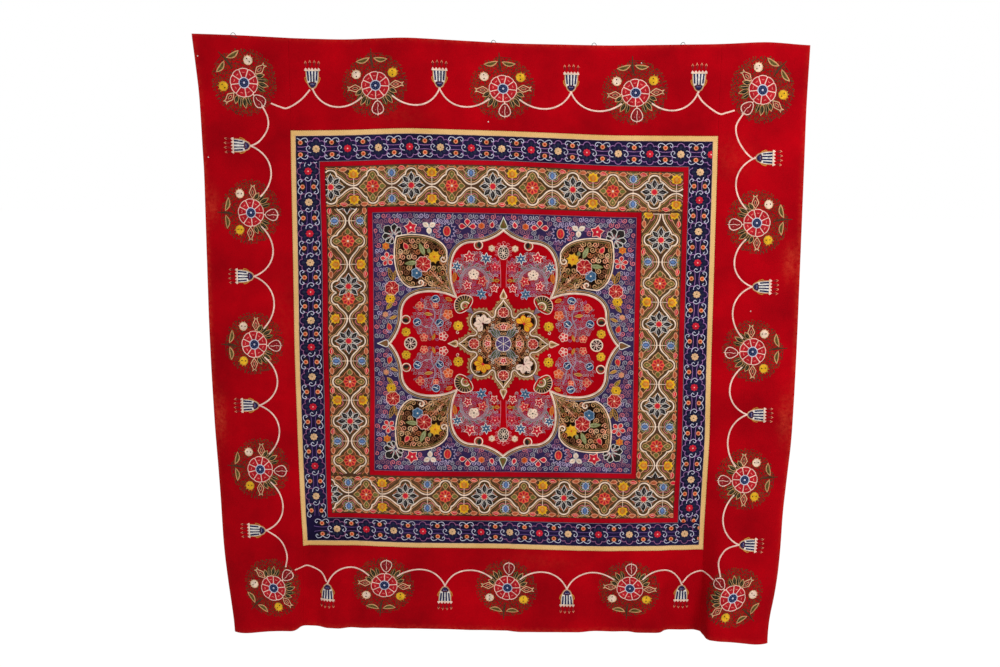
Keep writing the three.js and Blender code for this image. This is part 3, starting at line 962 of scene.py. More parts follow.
def rosetteDrawing():
    reach, hub, angles = spray["rosette"], spray["hub"], spray["spokes"]
    rim, strokes = [], []
    for a, b in zip(angles, [*angles[1:], angles[0] + 360]):
        middle, wide = (a + b) / 2, b - a
        scallop = bend(polar(reach - 1, a), polar(reach + 3, a + wide * 0.2),
                       polar(reach + 3, b - wide * 0.2), polar(reach - 1, b), 7)
        rim.append(scallop[:-1])
        fold = [polar(30, middle - 8), polar(28, middle), polar(30, middle + 6)]
        strokes.append(fill([polar(hub - 1, a), *scallop, polar(hub - 1, b)], "crimson", 0.7))
        strokes.append(line([polar(hub, a), polar(reach - 1, a)], 2.5, "pink", 1.3))
        strokes.append(line(fold, 2.3, "salmon", 1.3))
    strokes.append(loop(np.concatenate(rim), 2.2, "pink", 1.3))
    strokes += edged(circle(0, hub, 18), "navy", "silver", 2.7, 1.2)
    strokes += [dot(polar(8.5, angle), 1.9, "blue", 1.55, 5) for angle in range(0, 360, 45)]
    return [*strokes, dot(0, 3.4, "silver", 1.9)]


def stemDrawing():
    # the stem between its two leaves, with a fine cross branch
    stem = through([-5 + 50j, -7 + 60j, -10 + 71j, -11 + 88j, -12 + 108j])
    widths = np.interp(stem.imag, [50, 60, 70, 80, 95, 108], [1.5, 3, 7.5, 5.5, 3, 2])
    branch = [-22 + 93j, -10 + 95j, 3 + 94j, 24 + 93j]
    strokes = [line(stem, widths, "bark", 1.0), line(branch, 1.4, "bark", 0.8)]
    for base, tip, belly in ((-54 + 71j, -17 + 81j, -3.5), (34 + 76j, -3 + 80j, 3.5)):
        span = tip - base
        away = 1j * span / abs(span) * belly
        vein = [base + span * 0.15 + away * 0.5, base + span * 0.5 + away, base + span * 0.85 + away * 0.5]
        strokes += edged(leafShape(base, tip, 12, 7, 0.5, belly), "olive", "tan", 2.7)
        strokes.append(line(vein, 2.2, "bark", 1.2))
        for share in (0.35, 0.6):
            root = base + span * share + away
            strokes.append(line([root, root + span * 0.1 + away], 1.4, "bark", 1.15))
    return strokes


def sprayDrawing():
    strokes = laceRoundel() + rosetteDrawing()
    # white disc and yellow disc, each with two eyes and a few short spikes
    discs = ((-54.6 + 34j, 13, "cream", "sand", "peach"), (50 + 36j, 13.6, "yellow", "gold", "yellow"))
    for centre, radius, colour, rim, spike in discs:
        strokes += edged(lobedShape(centre, radius - 1.2, radius - 0.4, 9), colour, rim, 2.0, 0.9)
        strokes += [dot(centre + spot, 2.2, "moss", 1.6, 6) for spot in (-1 + 5.5j, -6j)]
        for turn in (-50, -18, 16, 48):
            out = centre / abs(centre) * polar(1, turn)
            strokes.append(line([centre + out * radius, centre + out * (radius + 4)], 1.3, spike, 1.0))
    # buds with a forked tip at both sides
    half = np.array([7 + 5j, 16 + 10.5j, 25 + 7j, 32 + 3.6j, 39 + 6j, 34 + 0j])
    shape = np.concatenate([[0], half, half[-2::-1].conj()])
    for side, level in ((-1, -6), (1, 2)):
        base = side * 42 + 1j * level
        out = side * polar(1, side * (level - 1) * 0.3)
        strokes.append(line([side * 38 + 0.8j * level, base + out], 2.2, "peach", 0.9))
        strokes += edged(base + out * shape, "deepRed", "sand", 2.3, 0.7)
        strokes += edged(base + out * leafShape(9, 25, 7, 4), "bark", "peach", 1.5, 1.2)
    # leaves packed in a fan below, at both sides
    for tips, lean in spray["fans"]:
        for k, turn in enumerate(tips):
            root, tip = polar(spray["rosette"] + 0.5, turn - lean), polar(spray["leaves"][k], turn)
            rim, vein = ("tan", "olive") if k % 2 == 0 else ("olive", "tan")
            strokes += edged(leafShape(root, tip, 12.5, 6, 0.45, 1.0), "black", rim, 1.9)
            strokes.append(line(root + (tip - root) * np.array([0.1, 0.5, 0.85]), 1.7, vein, 1.2))
    # pomegranate bud at the foot
    half = np.array([-45j, 6 - 47.5j, 11 - 54j, 15.5 - 63j, 17 - 71j, 15 - 77.5j, 9.5 - 82j, 3.5 - 84.5j])
    strokes += edged(5 + np.concatenate([half, -half[:0:-1].conj()]), "deepRed", "pink", 2.3)
    strokes.append(line([4 - 38j, 5 - 47j], 3.0, "pink", 1.2))
    strokes.append(line(through([5 - 52j, 6.5 - 60j, 4.5 - 68j, 6.5 - 84j], False, 3), 1.8, "pink", 1.25))
    for way in (-1, 1):
        strokes.append(line([5 + way * 6.5 - 73j, 5 + way * 7 - 70j], 2.2, "rose", 1.2))
    for x in (-12, -7, 0, 7, 12):
        foot, tip = 83.5 - abs(x) * 0.4, 89 - abs(x) * 0.5
        strokes.append(line([5 + x * 0.9 - 1j * foot, 5 + x - 1j * tip], 1.6, "pink", 1.1))
    return strokes


def cupDrawing():
    # calyx behind, striped bell, dome at its foot, toothed rim, flames
    side = through([18 + 13j, 18 - 4j, 15.5 - 20j, 9 - 34j, -39j], False, 4)
    bell = np.concatenate([side, -side[-2::-1].conj(), np.linspace(-13, 13, 5) + 13j])
    strokes = edged(bell, "white", "tan", 2.4, 0.6)
    for share, foot in ((-0.8, -17), (-0.27, -24), (0.27, -24), (0.8, -17)):
        strokes.append(line([share * 14 + 1j * foot, share * 17 + 10j], 4.9, "navy", 1.3))
    dome = [-10.5 - 24j, -6 - 22j, -21j, 6 - 22j, 10.5 - 24j, 6.5 - 32j, -35.5j, -6.5 - 32j]
    strokes += edged(through(dome, True, 2), "navy", "wine", 2.0, 1.4)
    strokes += [dot(x - 26j, 1.3, "lilac", 2.0, 5) for x in (-4, 0, 4)]
    for way in (-1, 1):
        strokes.append(curl(way, [14 - 25j, 19 - 19j, 22 - 10j, 19.5 - 7j], 1.9, "gold", 1.1))
    tooth = np.array([-4.6 + 10j, 4.6 + 10j, 3.2 + 15j, 18.5j, -3.2 + 15j])
    strokes += [fill(tooth + x, "pink", 1.5) for x in np.linspace(-18.5, 18.5, 5)]
    strokes.append(line(np.linspace(-21.5, 21.5, 8) + 11j, 3.2, "cream", 1.9))
    strokes.append(line([-42j, -37j], 6.5, "pink", 1.3))
    for x, tip in ((-18.5, 36), (-6.3, 38), (6.3, 38), (18.5, 36)):
        top = x * 1.03 + 1j * tip
        strokes.append(fill(leafShape(x * 0.97 + 19j, top, 6.2, 5, 0.5), "deepRed", 0.65))
        strokes.append(line([top - 2.8 - 6j, top, top + 2.8 - 6j], 1.7, "peach", 0.95))
    return strokes


# Loose vine ends at the corners, listed one by one: each a row of places from the cup outward.
looseVines = {
    "top": [[-552 + 734j, -580 + 705j, -618 + 683j, -640 + 686j, -664 + 694j],
            [546 + 740j, 567 + 713j, 610 + 684j, 632 + 686j, 655 + 692j]],
    "left": [[-735 + 571j, -702 + 588j, -677 + 622j, -675 + 655j, -692 + 689j],
             [-718 - 570j, -688 - 590j, -670 - 613j, -661 - 648j, -667 - 682j]],
    "right": [[712 + 556j, 690 + 576j, 667 + 612j, 661 + 650j, 682 + 686j],
              [722 - 590j, 692 - 600j, 674 - 616j, 663 - 648j, 673 - 690j]],
    "bottom": [[-535 - 738j, -553 - 708j, -593 - 688j, -618 - 690j, -640 - 692j],
               [549 - 730j, 569 - 705j, 602 - 691j, 628 - 694j, 653 - 703j]],
}
vineLook = {"width": 4.3, "sag": {"top": 57, "left": 66, "right": 62, "bottom": 60},
            "swing": {"top": 64, "left": 77, "right": 70, "bottom": 68}, "start": 0.17, "low": 0.66,
            "joints": (-38.5 - 30j, 46.5 - 29j), "reach": 190}


def vineLines(side):
    # from each cup's foot the vine swings in and out again to the sprays beside it
    turn = outwardTurn[side]
    along, out = polar(1, turn), polar(1, 90 + turn)
    level = [at for at, t, aside in sprayPlaces[side] if t == turn]
    joints = [at + joint * along for at in level for joint in vineLook["joints"]]
    strokes = []
    for foot in (at - 40 * out for at in cupPlaces[side]):
        for way in (-1, 1):
            ahead = [j for j in joints if ((j - foot) / along).real * way > 0]
            ahead = [j for j in ahead if abs(j - foot) < vineLook["reach"]]
            if ahead:
                end = min(ahead, key=lambda j: abs(j - foot))
                span = along * ((end - foot) / along).real
                low = foot + span * vineLook["start"] - out * vineLook["sag"][side]
                swing = foot + span * vineLook["low"] - out * vineLook["swing"][side]
                strokes.append(line(bend(foot, low, swing, end, 16), vineLook["width"], "pink", 1.7))
    return strokes + [line(through(row), vineLook["width"], "pink", 0.9) for row in looseVines[side]]


def makeBorderStitching():
    flower, leafPair = (redrawn(drawing, lambda z: stretched(z, *spray["size"]))
                        for drawing in (sprayDrawing(), stemDrawing()))
    cup = cupDrawing()
    for side, turn in outwardTurn.items():
        strokes = []
        for at, t, aside in sprayPlaces[side]:
            flip = side == "left" or (side == "bottom" and t == 180) or t in (45, 135)
            strokes += lay(flower + lay(leafPair, aside), at, t, 1.0, flip)
        for at in cupPlaces[side]:
            strokes += lay(cup, at, turn)
        sew("embroidery_border_" + side, strokes + vineLines(side))


makeBorderStitching()
print("border stitching ready")


# The navy frame: eight-lobed flowers with horned buds between them.
navyFlowers = {
    "top": [-538, -449, -361, -271, -182, -93, -5.5, 79, 156, 238, 328, 418, 506, 592],
    "bottom": [-503, -413, -330, -241, -152, -65, 22, 112, 199, 291, 384, 469, 551],
    "left": [506, 417, 326, 241, 154, 69, -11, -100, -191, -283, -373, -467],
    "right": [519, 438, 347, 255, 161, 66, -26, -118, -211, -303, -400, -488],
}
navyStrip = {     # middle line, half width, reach to both ends, is its first flower tan, outlines, links
    "top": (569.5, 36.5, 595, True, "orchid", "orchid"),
    "bottom": (-569.5, 36.5, 595, True, "mauve", "violet"),
    "left": (-562, 33, 533, False, "mauve", "violet"),
    "right": (562, 33, 533, True, "orchid", "orchid"),
}


def navyFlower(tan, outline):
    # six round lobes in outline, open at both sides where the hooks come in
    strokes = []
    for lobe in ((21j, 10.3, 182, -2), (15.8 + 14.3j, 8.8, 128, -48), (-15.8 + 14.3j, 8.8, 52, 228)):
        row = arc(*lobe, 9)
        strokes += [line(row, 2.0, outline, 0.9), line(row.conj(), 2.0, outline, 0.9)]
    for angle in range(0, 360, 45):
        tip = stretched(polar(1, angle), 19, 25)
        strokes.append(fill(leafShape(tip * 0.4, tip, 11, 4, 0.65), "ink", 0.45))
    strokes.append(fill(lobedShape(0, 9.2, 11, 8, count=4), "sand" if tan else "red", 0.95))
    for angle in range(22, 382, 45):
        strokes.append(line([polar(3.5, angle), polar(9, angle)], 1.4, "gold" if tan else "deepRed", 1.25))
    strokes.append(dot(0, 2.2, "olive" if tan else "pink", 1.5, 6))
    hook = through([-14 - 10j, -22.5 - 8j, -28 + 1j, -23 + 9j, -17 + 4.5j, -20.5], False, 3)
    return strokes + [line(half, 2.1, "silver", 1.2) for half in (hook, -hook)]


def navyBud():
    # a round bud in a dark eye, with two horns that part above it
    strokes = [fill(leafShape(-15, 15, 19, 6), "black", 0.45), dot(0, 5.6, "orange", 0.9, 10)]
    strokes += [loop(circle(0, 5.4, 12), 2.4, "peach", 1.4), dot(0, 2.3, "deepRed", 1.35, 6)]
    horn = through([6j, 7 + 11.5j, 16 + 12.5j, 21 + 6j, 17 + 1j, 13.5 + 5.5j], False, 3)
    return strokes + [line(half, 2.1, "silver", 1.15) for half in (-horn.conj(), horn)]


def navyLink(span, colour):
    half = [-span / 2 + 22 + 10j, -span / 4 + 8j, 5.5j, span / 4 + 8j, span / 2 - 22 + 10j]
    path = through(half, False, 3)
    return [line(row, 1.8, colour, 0.8) for row in (path.conj(), path)]


def makeNavyStitching():
    bud = navyBud()
    strokes = []
    for side, places in navyFlowers.items():
        level, half, reach, tan, outline, link = navyStrip[side]
        row = []
        for k, place in enumerate(places):
            row += lay(navyFlower(tan == (k % 2 == 0), outline), place)
        step = places[1] - places[0]
        places = [places[0] - step, *places, places[-1] + step]
        for before, after in zip(places, places[1:]):
            place = (before + after) / 2
            row += lay(navyLink(abs(after - before), link), place)
            row += lay(bud, place - 0.44j * half, 180) + lay(bud, place + 0.5j * half)
        strokes += alongStrip(row, side, level, half - 1.5, reach)
    sew("embroidery_navy_frame", strokes)


makeNavyStitching()
print("navy frame stitched")


# The taupe frame: a white ogee line that pinches in and swells round stars and rosettes.
taupeStrip = {     # middle line, half width, reach to both ends
    "top": (459.5, 59.5, 515), "bottom": (-460.5, 59.5, 515),
    "left": (-456.5, 58.5, 400), "right": (455, 58.5, 400),
}
# Each side from left to right or from the top down, with what runs on into the corners at its
# ends: s is a star, r a red rosette, y and b a yellow and a blue lotus. The left side is pieced
# where a star meets a rosette.
taupeRows = {
    "top": ("bsyrbsyrbsyrbsyrbsyr",
            [-500, -435, -381, -325, -268, -208, -150, -94, -31, 25, 83, 140, 199, 257, 314, 372, 433, 496]),
    "bottom": ("sbrysbrysbrysbrysbr",
               [-463, -409, -361, -291, -225, -171, -115, -54, 10, 64, 121, 185, 249, 307, 362, 424, 481]),
    "left": ("sbrysrysbrysbry", [362, 303, 235, 170, 133, 74, 7, -53, -115, -171, -235, -296, -356]),
    "right": ("rysbrysbrysbrys", [396, 320, 255, 191, 135, 69, 5, -54, -111, -176, -239, -298, -358]),
}
contourColours = {"top": ("olive", "tan"), "right": ("olive", "tan"), "left": ("moss", "rust"),
                  "bottom": ("moss", "rust")}
ogee = {
    "width": 3.9,
    "notchAside": 17,
    "notch": 31,
    "lobe": 48,
    "y": 3.0,           # half gap at the pinch of each lotus
    "b": 4.6,
    "contour": 6.2,     # between rows
    "step": 4.2,
    "span": 58,         # from the last motif to the next, past the end
}


def ogeeHalf(start, end, pinch):
    # from a pinch at start to the top of a lobe at end
    way, span = (1 if end > start else -1), abs(end - start)
    aside = min(ogee["notchAside"], span * 0.4)
    notch, lobe = span - aside + 1j * ogee["notch"], span + 1j * ogee["lobe"]
    gap = 1j * ogee[pinch]
    rise = bend(gap, span * 0.36 + gap, notch - 15 - 4j, notch, 9)
    swell = bend(notch, notch + 10j, lobe - aside * 0.55, lobe, 8)
    return [start + stretched(row, way, 1) for row in (rise, swell)]


def starDrawing():
    strokes = [fill(starShape(0, 25, 34, 8), "bark", 0.4)]
    for angle in range(0, 360, 45):
        away = polar(1 if angle % 90 else 1.05, angle + 90)
        kite = away * np.array([9, 15 - 4.6j, 22 - 7.4j, 27 - 6j, 37, 27 + 6j, 22 + 7.4j, 15 + 4.6j])
        strokes += edged(kite, "black", "white", 1.7, 0.6)
        strokes.append(line([away * 13, away * 25], 3.0, "slate", 1.0))
        strokes.append(line([away * (17 - 2.6j), away * (25 - 1.5j)], 1.2, "grey", 1.1))
    for angle in range(22, 382, 45):
        strokes.append(line(polar(np.array([24, 31, 24]), angle + np.array([5, 0.5, -4])), 1.6, "grey", 0.9))
    return strokes + [fill(circle(0, 9, 14), "red", 1.3), loop(circle(0, 8.6, 14), 2.2, "peach", 1.7)]


def redRosette():
    strokes = [fill(circle(0, 17, 20), "wine", 0.6)]
    for away in (polar(1, angle) for angle in range(0, 360, 45)):
        strokes += edged(leafShape(away * 4, away * 18.8, 12.5, 5, 0.62), "red", "vermilion", 2.0, 0.9)
        strokes.append(line([away * 8, away * 13.5], 1.8, "wine", 1.6))
    strokes.append(dot(0, 3.4, "cream", 1.6, 8))
    for way in (-1, 1):
        strokes += edged(leafShape(way * 19, way * 38, 15, 5, 0.4), "olive", "tan", 2.0, 0.7)
        strokes.append(line([way * 21, way * 33], 2.0, "green", 1.2))
        strokes += edged(leafShape(19j * way, 43j * way, 17, 6, 0.6), "olive", "tan", 2.0, 0.7)
        strokes += [line([19j * way, 36j * way], 3.0, "green", 1.2), dot(33j * way, 2.6, "tan", 1.3, 6)]
    return strokes


def lotus(colour, inside, rim, reach, heart, veins):
    # one lotus with its stem, buds and curls, growing upward from the pinch
    tips = 36.5j + polar(reach, np.array([-34, 6, 44, 90, 136, 174, 214]))
    dips = 36.5j + polar(reach - 3.5, np.array([-14, 25, 66, 114, 155, 194]))
    crown = np.append(np.stack([tips[:-1], dips], axis=1), [tips[-1], 25.5j])
    strokes = [line([0j, 24j], 1.8, "cream", 1.0), *edged(crown, colour, rim, 2.2, 0.8)]
    strokes += edged(leafShape(27j, 45j, 12, 4), inside, heart, 1.3, 1.3)
    for way in (-1, 1):
        strokes.append(curl(way, [3 + 27j, 8 + 33j, 7.5 + 42j], 1.5, veins, 1.7))
        if colour != "yellow":
            strokes.append(curl(way, [3 + 23j, 13 + 27j, 16 + 38j, 9 + 49j, 52j], 1.8, "sage", 0.9))
        strokes.append(curl(way, [1 + 24j, 9 + 20j, 17 + 25j, 20 + 33j], 1.8, "rose", 0.9))
        bud = leafShape(way * 19 + 49.5j, way * 40 + 48j, 11.5, 6, 0.45, way * 1.2)
        strokes += edged(bud, "red" if way > 0 else "rust", "peach", 1.9, 0.8)
        strokes.append(line([way * 23 + 49j, way * 34 + 48.5j], 2.0, "pink" if way > 0 else "crimson", 1.3))
        strokes.append(curl(way, [2 + 49j, 9 + 54j, 18 + 50j], 1.6, "tan", 0.9))
        strokes.append(dot(way * 46 + 54j, 2.4, "orange", 0.9, 6))
        strokes.append(line(spiral(way * 48 + 52j, 5, 90 - way * 90, way * 1.0, 9), 1.6, "tan", 0.9))
    return strokes


def contourLines(upper, half, third, fifth):
    # rows of chain that follow the ogee line on both its sides
    strokes, colours = [], ("bark", "tan", third, "brown", fifth, "moss")
    x = np.arange(upper.real[0], upper.real[-1], ogee["step"])
    rise = np.interp(x, upper.real, upper.imag)
    for k in (*range(-9, 0), *range(1, 12)):
        level = rise + ogee["contour"] * k
        level = level + 1.5 * np.sign(k) * np.abs(np.gradient(rise, x)) ** 2
        for first, last in runsOf((level > 1.5) & (level < half - 1)):
            if last - first > 2:
                strokes.append(line(x[first:last] + 1j * level[first:last], 2.6, colours[k % 6], 0.6))
    return strokes


def ogeeLine(places, kinds):
    # the upper line of a side, pinched in at every lotus
    upper = []
    for a, b, first, second in zip(places, places[1:], kinds, kinds[1:]):
        if first in ogee:
            upper += [row[:-1] for row in ogeeHalf(a, b, first)]
        elif second in ogee:
            upper += [row[:0:-1] for row in ogeeHalf(b, a, second)[::-1]]
        else:
            radius = (b - a) / 2
            lobe = polar(radius, np.linspace(90, 20, 7)) + 1j * (ogee["lobe"] - radius)
            upper += [a + lobe, b - lobe[::-1].conj()]
    return np.concatenate(upper)


def makeTaupeStitching():
    drawings = {
        "s": starDrawing(),
        "r": redRosette(),
        "y": lotus("yellow", "gold", "yellow", 14.5, "orange", "orange"),
        "b": lotus("grey", "steel", "paleBlue", 11.5, "navy", "silver"),
    }
    for side, (kinds, places) in taupeRows.items():
        level, half, reach = taupeStrip[side]
        if side in ("left", "right"):
            places, kinds = places[::-1], kinds[::-1]
        places = [places[0] - ogee["span"], *places, places[-1] + ogee["span"]]
        upper = ogeeLine(places, kinds)
        above = [line(upper, ogee["width"], "cream", 1.5), *contourLines(upper, half, *contourColours[side])]
        row = redrawn(above, np.conj) + above
        for place, kind in zip(places, kinds):
            row += lay(drawings[kind], place)
            if kind in ogee:
                row += lay(drawings[kind], place, 180)
        sew("embroidery_taupe_frame_" + side, alongStrip(row, side, level, half - 2, reach))


makeTaupeStitching()
print("taupe frame stitched")


# Flowers of the inlaid field. Each is drawn about its own middle with its top up.

def ray(turn, near, far, width, colour, height):
    return line([polar(near, turn), polar(far, turn)], width, colour, height)


def starFlower(reach, points, inside, rim, heart, start=90, waist=0.52, vein="wine"):
    # pointed petals inside one outline
    half = 180 / points
    turns = start + 2 * half * np.arange(points)
    shares, leans = np.array([1, 0.76, waist, 0.76]), half * np.array([0, 0.42, 1, 1.58])
    strokes = edged(polar(reach * shares, turns[:, None] + leans).ravel(), inside, rim, 1.8, 0.75)
    strokes += [ray(turn, reach * 0.2, reach * 0.72, 1.3, vein, 1.2) for turn in turns]
    return [*strokes, dot(0, reach * 0.16, heart, 1.6, 7)]


def roundFlower(reach, lobes, inside, rim, spots, heart):
    strokes = edged(lobedShape(0, reach * 0.82, reach, lobes), inside, rim, 1.6, 0.75)
    for turn in 90 + 360 * np.arange(lobes) / lobes:
        strokes.append(dot(polar(reach * 0.6, turn), reach * 0.11, spots, 1.3, 5))
        strokes.append(ray(turn + 180 / lobes, reach * 0.62, reach * 0.95, 1.0, spots, 1.0))
    return [*strokes, dot(0, reach * 0.17, heart, 1.5, 6)]


def wheelFlower(reach, petals, inside, rim, bars, heart, twist=0, bar=1.25):
    shape = lobedShape(0, reach * 0.88, reach, petals, 90 + 180 / petals, 0.8)
    strokes = edged(shape, inside, rim, 1.7, 0.75)
    for turn in 90 + 360 * np.arange(petals) / petals:
        spoke = polar(reach * np.array([0.12, 0.5, 0.86]), turn + twist * np.array([-1, -0.4, 1]))
        strokes.append(line(spoke, bar, bars, 1.35))
        strokes.append(ray(turn + 180 / petals, reach * 0.36, reach * 0.78, 2.2, "wine", 1.15))
    return [*strokes, dot(0, reach * 0.13, heart, 1.7, 7)]


def petalFlower(reach, petals, inside, rim, heart, start=90, width=0.9, notch=0.12, fullness=0.62):
    # separate round petals, each with its own outline
    strokes = []
    for k in range(petals):
        away = polar(1, start + 360 * k / petals)
        shape = leafShape(away * reach * notch, away * reach, reach * width, 5, fullness)
        strokes += edged(shape, inside, rim, 1.7, 0.75)
        strokes.append(line([away * reach * 0.35, away * reach * 0.7], 1.5, heart, 1.25))
    return strokes


def spade(height, width, inside, rim):
    # a finial with its point up and its foot at the origin
    half = stretched(np.array([0, 0.34 + 0.03j, 0.5 + 0.2j, 0.33 + 0.5j, 0.1 + 0.82j, 1j]), width, height)
    half = through(half, False, 3)
    shape = np.concatenate([half, -half[-2:0:-1].conj()])
    core = leafShape(0.12j * height, 0.66j * height, width * 0.34, 4, 0.35)
    return edged(shape, inside, rim, 2.3, 1.2) + edged(core, "brown", "olive", 1.3, 1.5)


def veinedLeaf(base, tip, width, inside, rim, vein):
    span = tip - base
    side = 0.3j * width * span / abs(span)
    strokes = edged(leafShape(base, tip, width, 6, 0.45), inside, rim, 1.6, 0.8)
    strokes.append(line([base + span * 0.12, base + span * 0.88], 1.3, vein, 1.35))
    for root in (base + span * 0.35, base + span * 0.58):
        strokes += [line([root, root + span * 0.16 + way * side], 1.0, vein, 1.3) for way in (-1, 1)]
    return strokes


def budDrawing(height, width, inside, rim, vein="wine"):
    return edged(leafShape(-0.5j * height, 0.5j * height, width, 5, 0.4), inside, rim, 1.8, 0.8) + [
        line([-0.3j * height, 0.25j * height], 1.5, vein, 1.3)]


def planted(flowers):
    # flowers are (place, reach to keep clear, drawing)
    return [stroke for at, reach, drawing in flowers for stroke in lay(drawing, at)]


def mirroredTwice(drawing):
    top = drawing + lay(drawing, flip=True)
    return top + redrawn(top, np.conj)


def scrollGround(ground, flowers, pitch, radius, colours, width, seed, height, turns):
    # small open scrolls in rows, left out where a flower stands
    rng = np.random.default_rng(seed)
    ground = np.array(ground)
    strokes = []
    left, right = ground.real.min(), ground.real.max()
    levels = np.arange(ground.imag.min() + pitch / 2, ground.imag.max(), pitch * 0.88)
    for row, up in enumerate(levels):
        spots = np.arange(left + pitch * (0.5 if row % 2 else 1.0), right, pitch) + 1j * up
        for spot in spots[isInside(spots, ground) & (rimDistance(spots, [ground]) > radius * 0.7)]:
            way = rng.choice((-1, 1))
            start, colour = rng.normal(200 if way > 0 else 340, 28), rng.integers(len(colours))
            at = spot + complex(*rng.normal(0, pitch * 0.05, 2))
            if any(abs(at - place) < reach + radius * 0.15 for place, reach, drawing in flowers):
                continue
            spin = spiral(at, radius, start, way * turns, round(8.5 * turns) + 1, 0.2)
            tail = at + (spin[0] - at) * polar(1.35, -way * 52)
            strokes.append(line([tail, *spin], width, colours[colour], height))
    return strokes


def leftOut(strokes, *outlines):
    # the strokes whose middle is in none of the outlines
    middles = np.array([stroke[1].mean() for stroke in strokes])
    covered = np.any([isInside(middles, outline) for outline in outlines], axis=0)
    return [stroke for stroke, hidden in zip(strokes, covered) if not hidden]


def edgeRows(outline, rows, height=0.6):
    # closed rows of chain beside an outline: offset inward, width, colour
    return [loop(insetLoop(outline, offset), width, colour, height) for offset, width, colour in rows]


def darkPalmette():
    strokes = []
    for turn, length, width in ((250, 24, 14), (218, 29, 16), (184, 33, 19), (135, 37, 25), (86, 33, 19),
                                (52, 29, 16), (20, 24, 14)):
        petalShape = leafShape(polar(4, turn), polar(length * 1.06, turn), width, 5, 0.66)
        strokes += edged(petalShape, "black", "white", 1.6, 0.8)
        strokes.append(ray(turn, 8, length * 0.55, 1.6, "rose", 1.3))
    return strokes


def sunburst():
    strokes = edged(starShape(0, 19, 28, 12), "navy", "lilac", 1.8, 0.7)
    strokes += [dot(polar(21, turn), 1.5, "lilac", 1.2, 5) for turn in range(15, 375, 30)]
    strokes += edged(stretched(circle(0, 1, 18), 10, 14), "red", "peach", 2.2, 1.0)
    return strokes + [line([-9j, 9j], 1.8, "orange", 1.7), line([-4 + 2j, 4 - 3j], 1.6, "orange", 1.7)]


def lily():
    strokes = petalFlower(23, 1, "red", "pink", "wine", 90, 0.72)
    for turn in (176, 4):
        strokes += petalFlower(25, 1, "red", "pink", "wine", turn, 0.64)
    return [*strokes, dot(3j, 1.8, "cream", 1.8, 6)]


# Flowers of the ground round the cross, in its top left quarter.
fieldFlowers = [
    (-331 + 327j, 26, lay(darkPalmette(), 10 - 10j)),
    (-271 + 340j, 19, starFlower(20, 5, "red", "pink", "cream", 98, 0.6)),
    (-217 + 343j, 17, petalFlower(21, 3, "cream", "white", "olive", 30, 0.68, 0.05, 0.48)),
    (-165 + 331j, 26, sunburst()),
    (-105 + 345j, 19, lily()),
    (-64 + 348j, 9, roundFlower(9, 6, "orange", "peach", "wine", "wine")),
    (-33 + 352j, 9, lay(budDrawing(19, 13, "red", "pink"), 0, -14)),
    (0 + 359j, 14, []),
    (-345 + 287j, 11, starFlower(12, 6, "orange", "gold", "yellow", 90, 0.7, "gold")),
    (-341 + 249j, 18, petalFlower(21, 5, "red", "pink", "orange", 96, 0.62)),
    (-327 + 208j, 17, veinedLeaf(2 - 21j, -11 + 15j, 13, "black", "gold", "tan")
     + veinedLeaf(4 - 20j, 10 + 8j, 9, "black", "gold", "tan")),
    (-328 + 164j, 21, wheelFlower(21.5, 8, "crimson", "pink", "peach", "cream", 16)),
    (-333 + 133j, 12, roundFlower(15, 8, "yellow", "gold", "brown", "black")),
    (-336 + 110j, 10, veinedLeaf(9 + 12j, -9 - 9j, 12, "olive", "tan", "yellow")),
    (-348 + 86j, 8, roundFlower(8, 6, "peach", "tan", "brown", "orange")),
    (-325 + 77j, 11, veinedLeaf(-10 - 4j, 12 + 5j, 9, "gold", "tan", "olive")),
    (-337 + 50j, 11, lay(budDrawing(23, 15, "red", "tan", "orange"), 0, 14)),
    (-354 + 0j, 17, []),
]
fieldStems = [
    [-300 + 338j, -292 + 345j, -287 + 341j], [-250 + 348j, -240 + 350j, -232 + 346j],
    [-345 + 273j, -350 + 266j, -346 + 261j], [-340 + 93j, -338 + 84j, -332 + 80j],
    [-348 + 77j, -346 + 66j, -340 + 60j], [-84 + 346j, -76 + 347j], [-54 + 350j, -43 + 351j],
    [-134 + 352j, -127 + 346j], [-200 + 345j, -190 + 338j],
]
fieldCurls = {"pitch": 16.0, "radius": 7.5, "width": 2.3, "seed": 11, "height": 0.6, "turns": 1.3,
              "colours": ("lilac", "dusk", "grey", "mauve", "rose", "grey", "dusk")}
fieldRows = ((-3.6, 2.0, "bark"), (-5.8, 1.8, "tan"), (-7.8, 1.8, "moss"), (-9.8, 1.6, "grey"))


def makeFieldStitching():
    ground = scrollGround([-383, -383 + 384j, 384j, 0j], fieldFlowers, **fieldCurls)
    strokes = leftOut(ground, insetLoop(cross, -13), insetLoop(leaves["top_left"], -5))
    strokes += planted(fieldFlowers)
    strokes += [line(through(stem), 1.6, "mauve", 0.9) for stem in fieldStems]
    strokes = mirroredTwice(strokes)
    for way in (-1, 1):
        strokes += lay(spade(35, 22, "olive", "white"), 340j * way, 90 - 90 * way)
        strokes += lay(spade(33, 21, "brown", "white"), 340 * way, -90 * way)
    strokes += edgeRows(cross, fieldRows, 0.7)
    sew("embroidery_field", clipped(strokes, -383, 383, -384, 384))


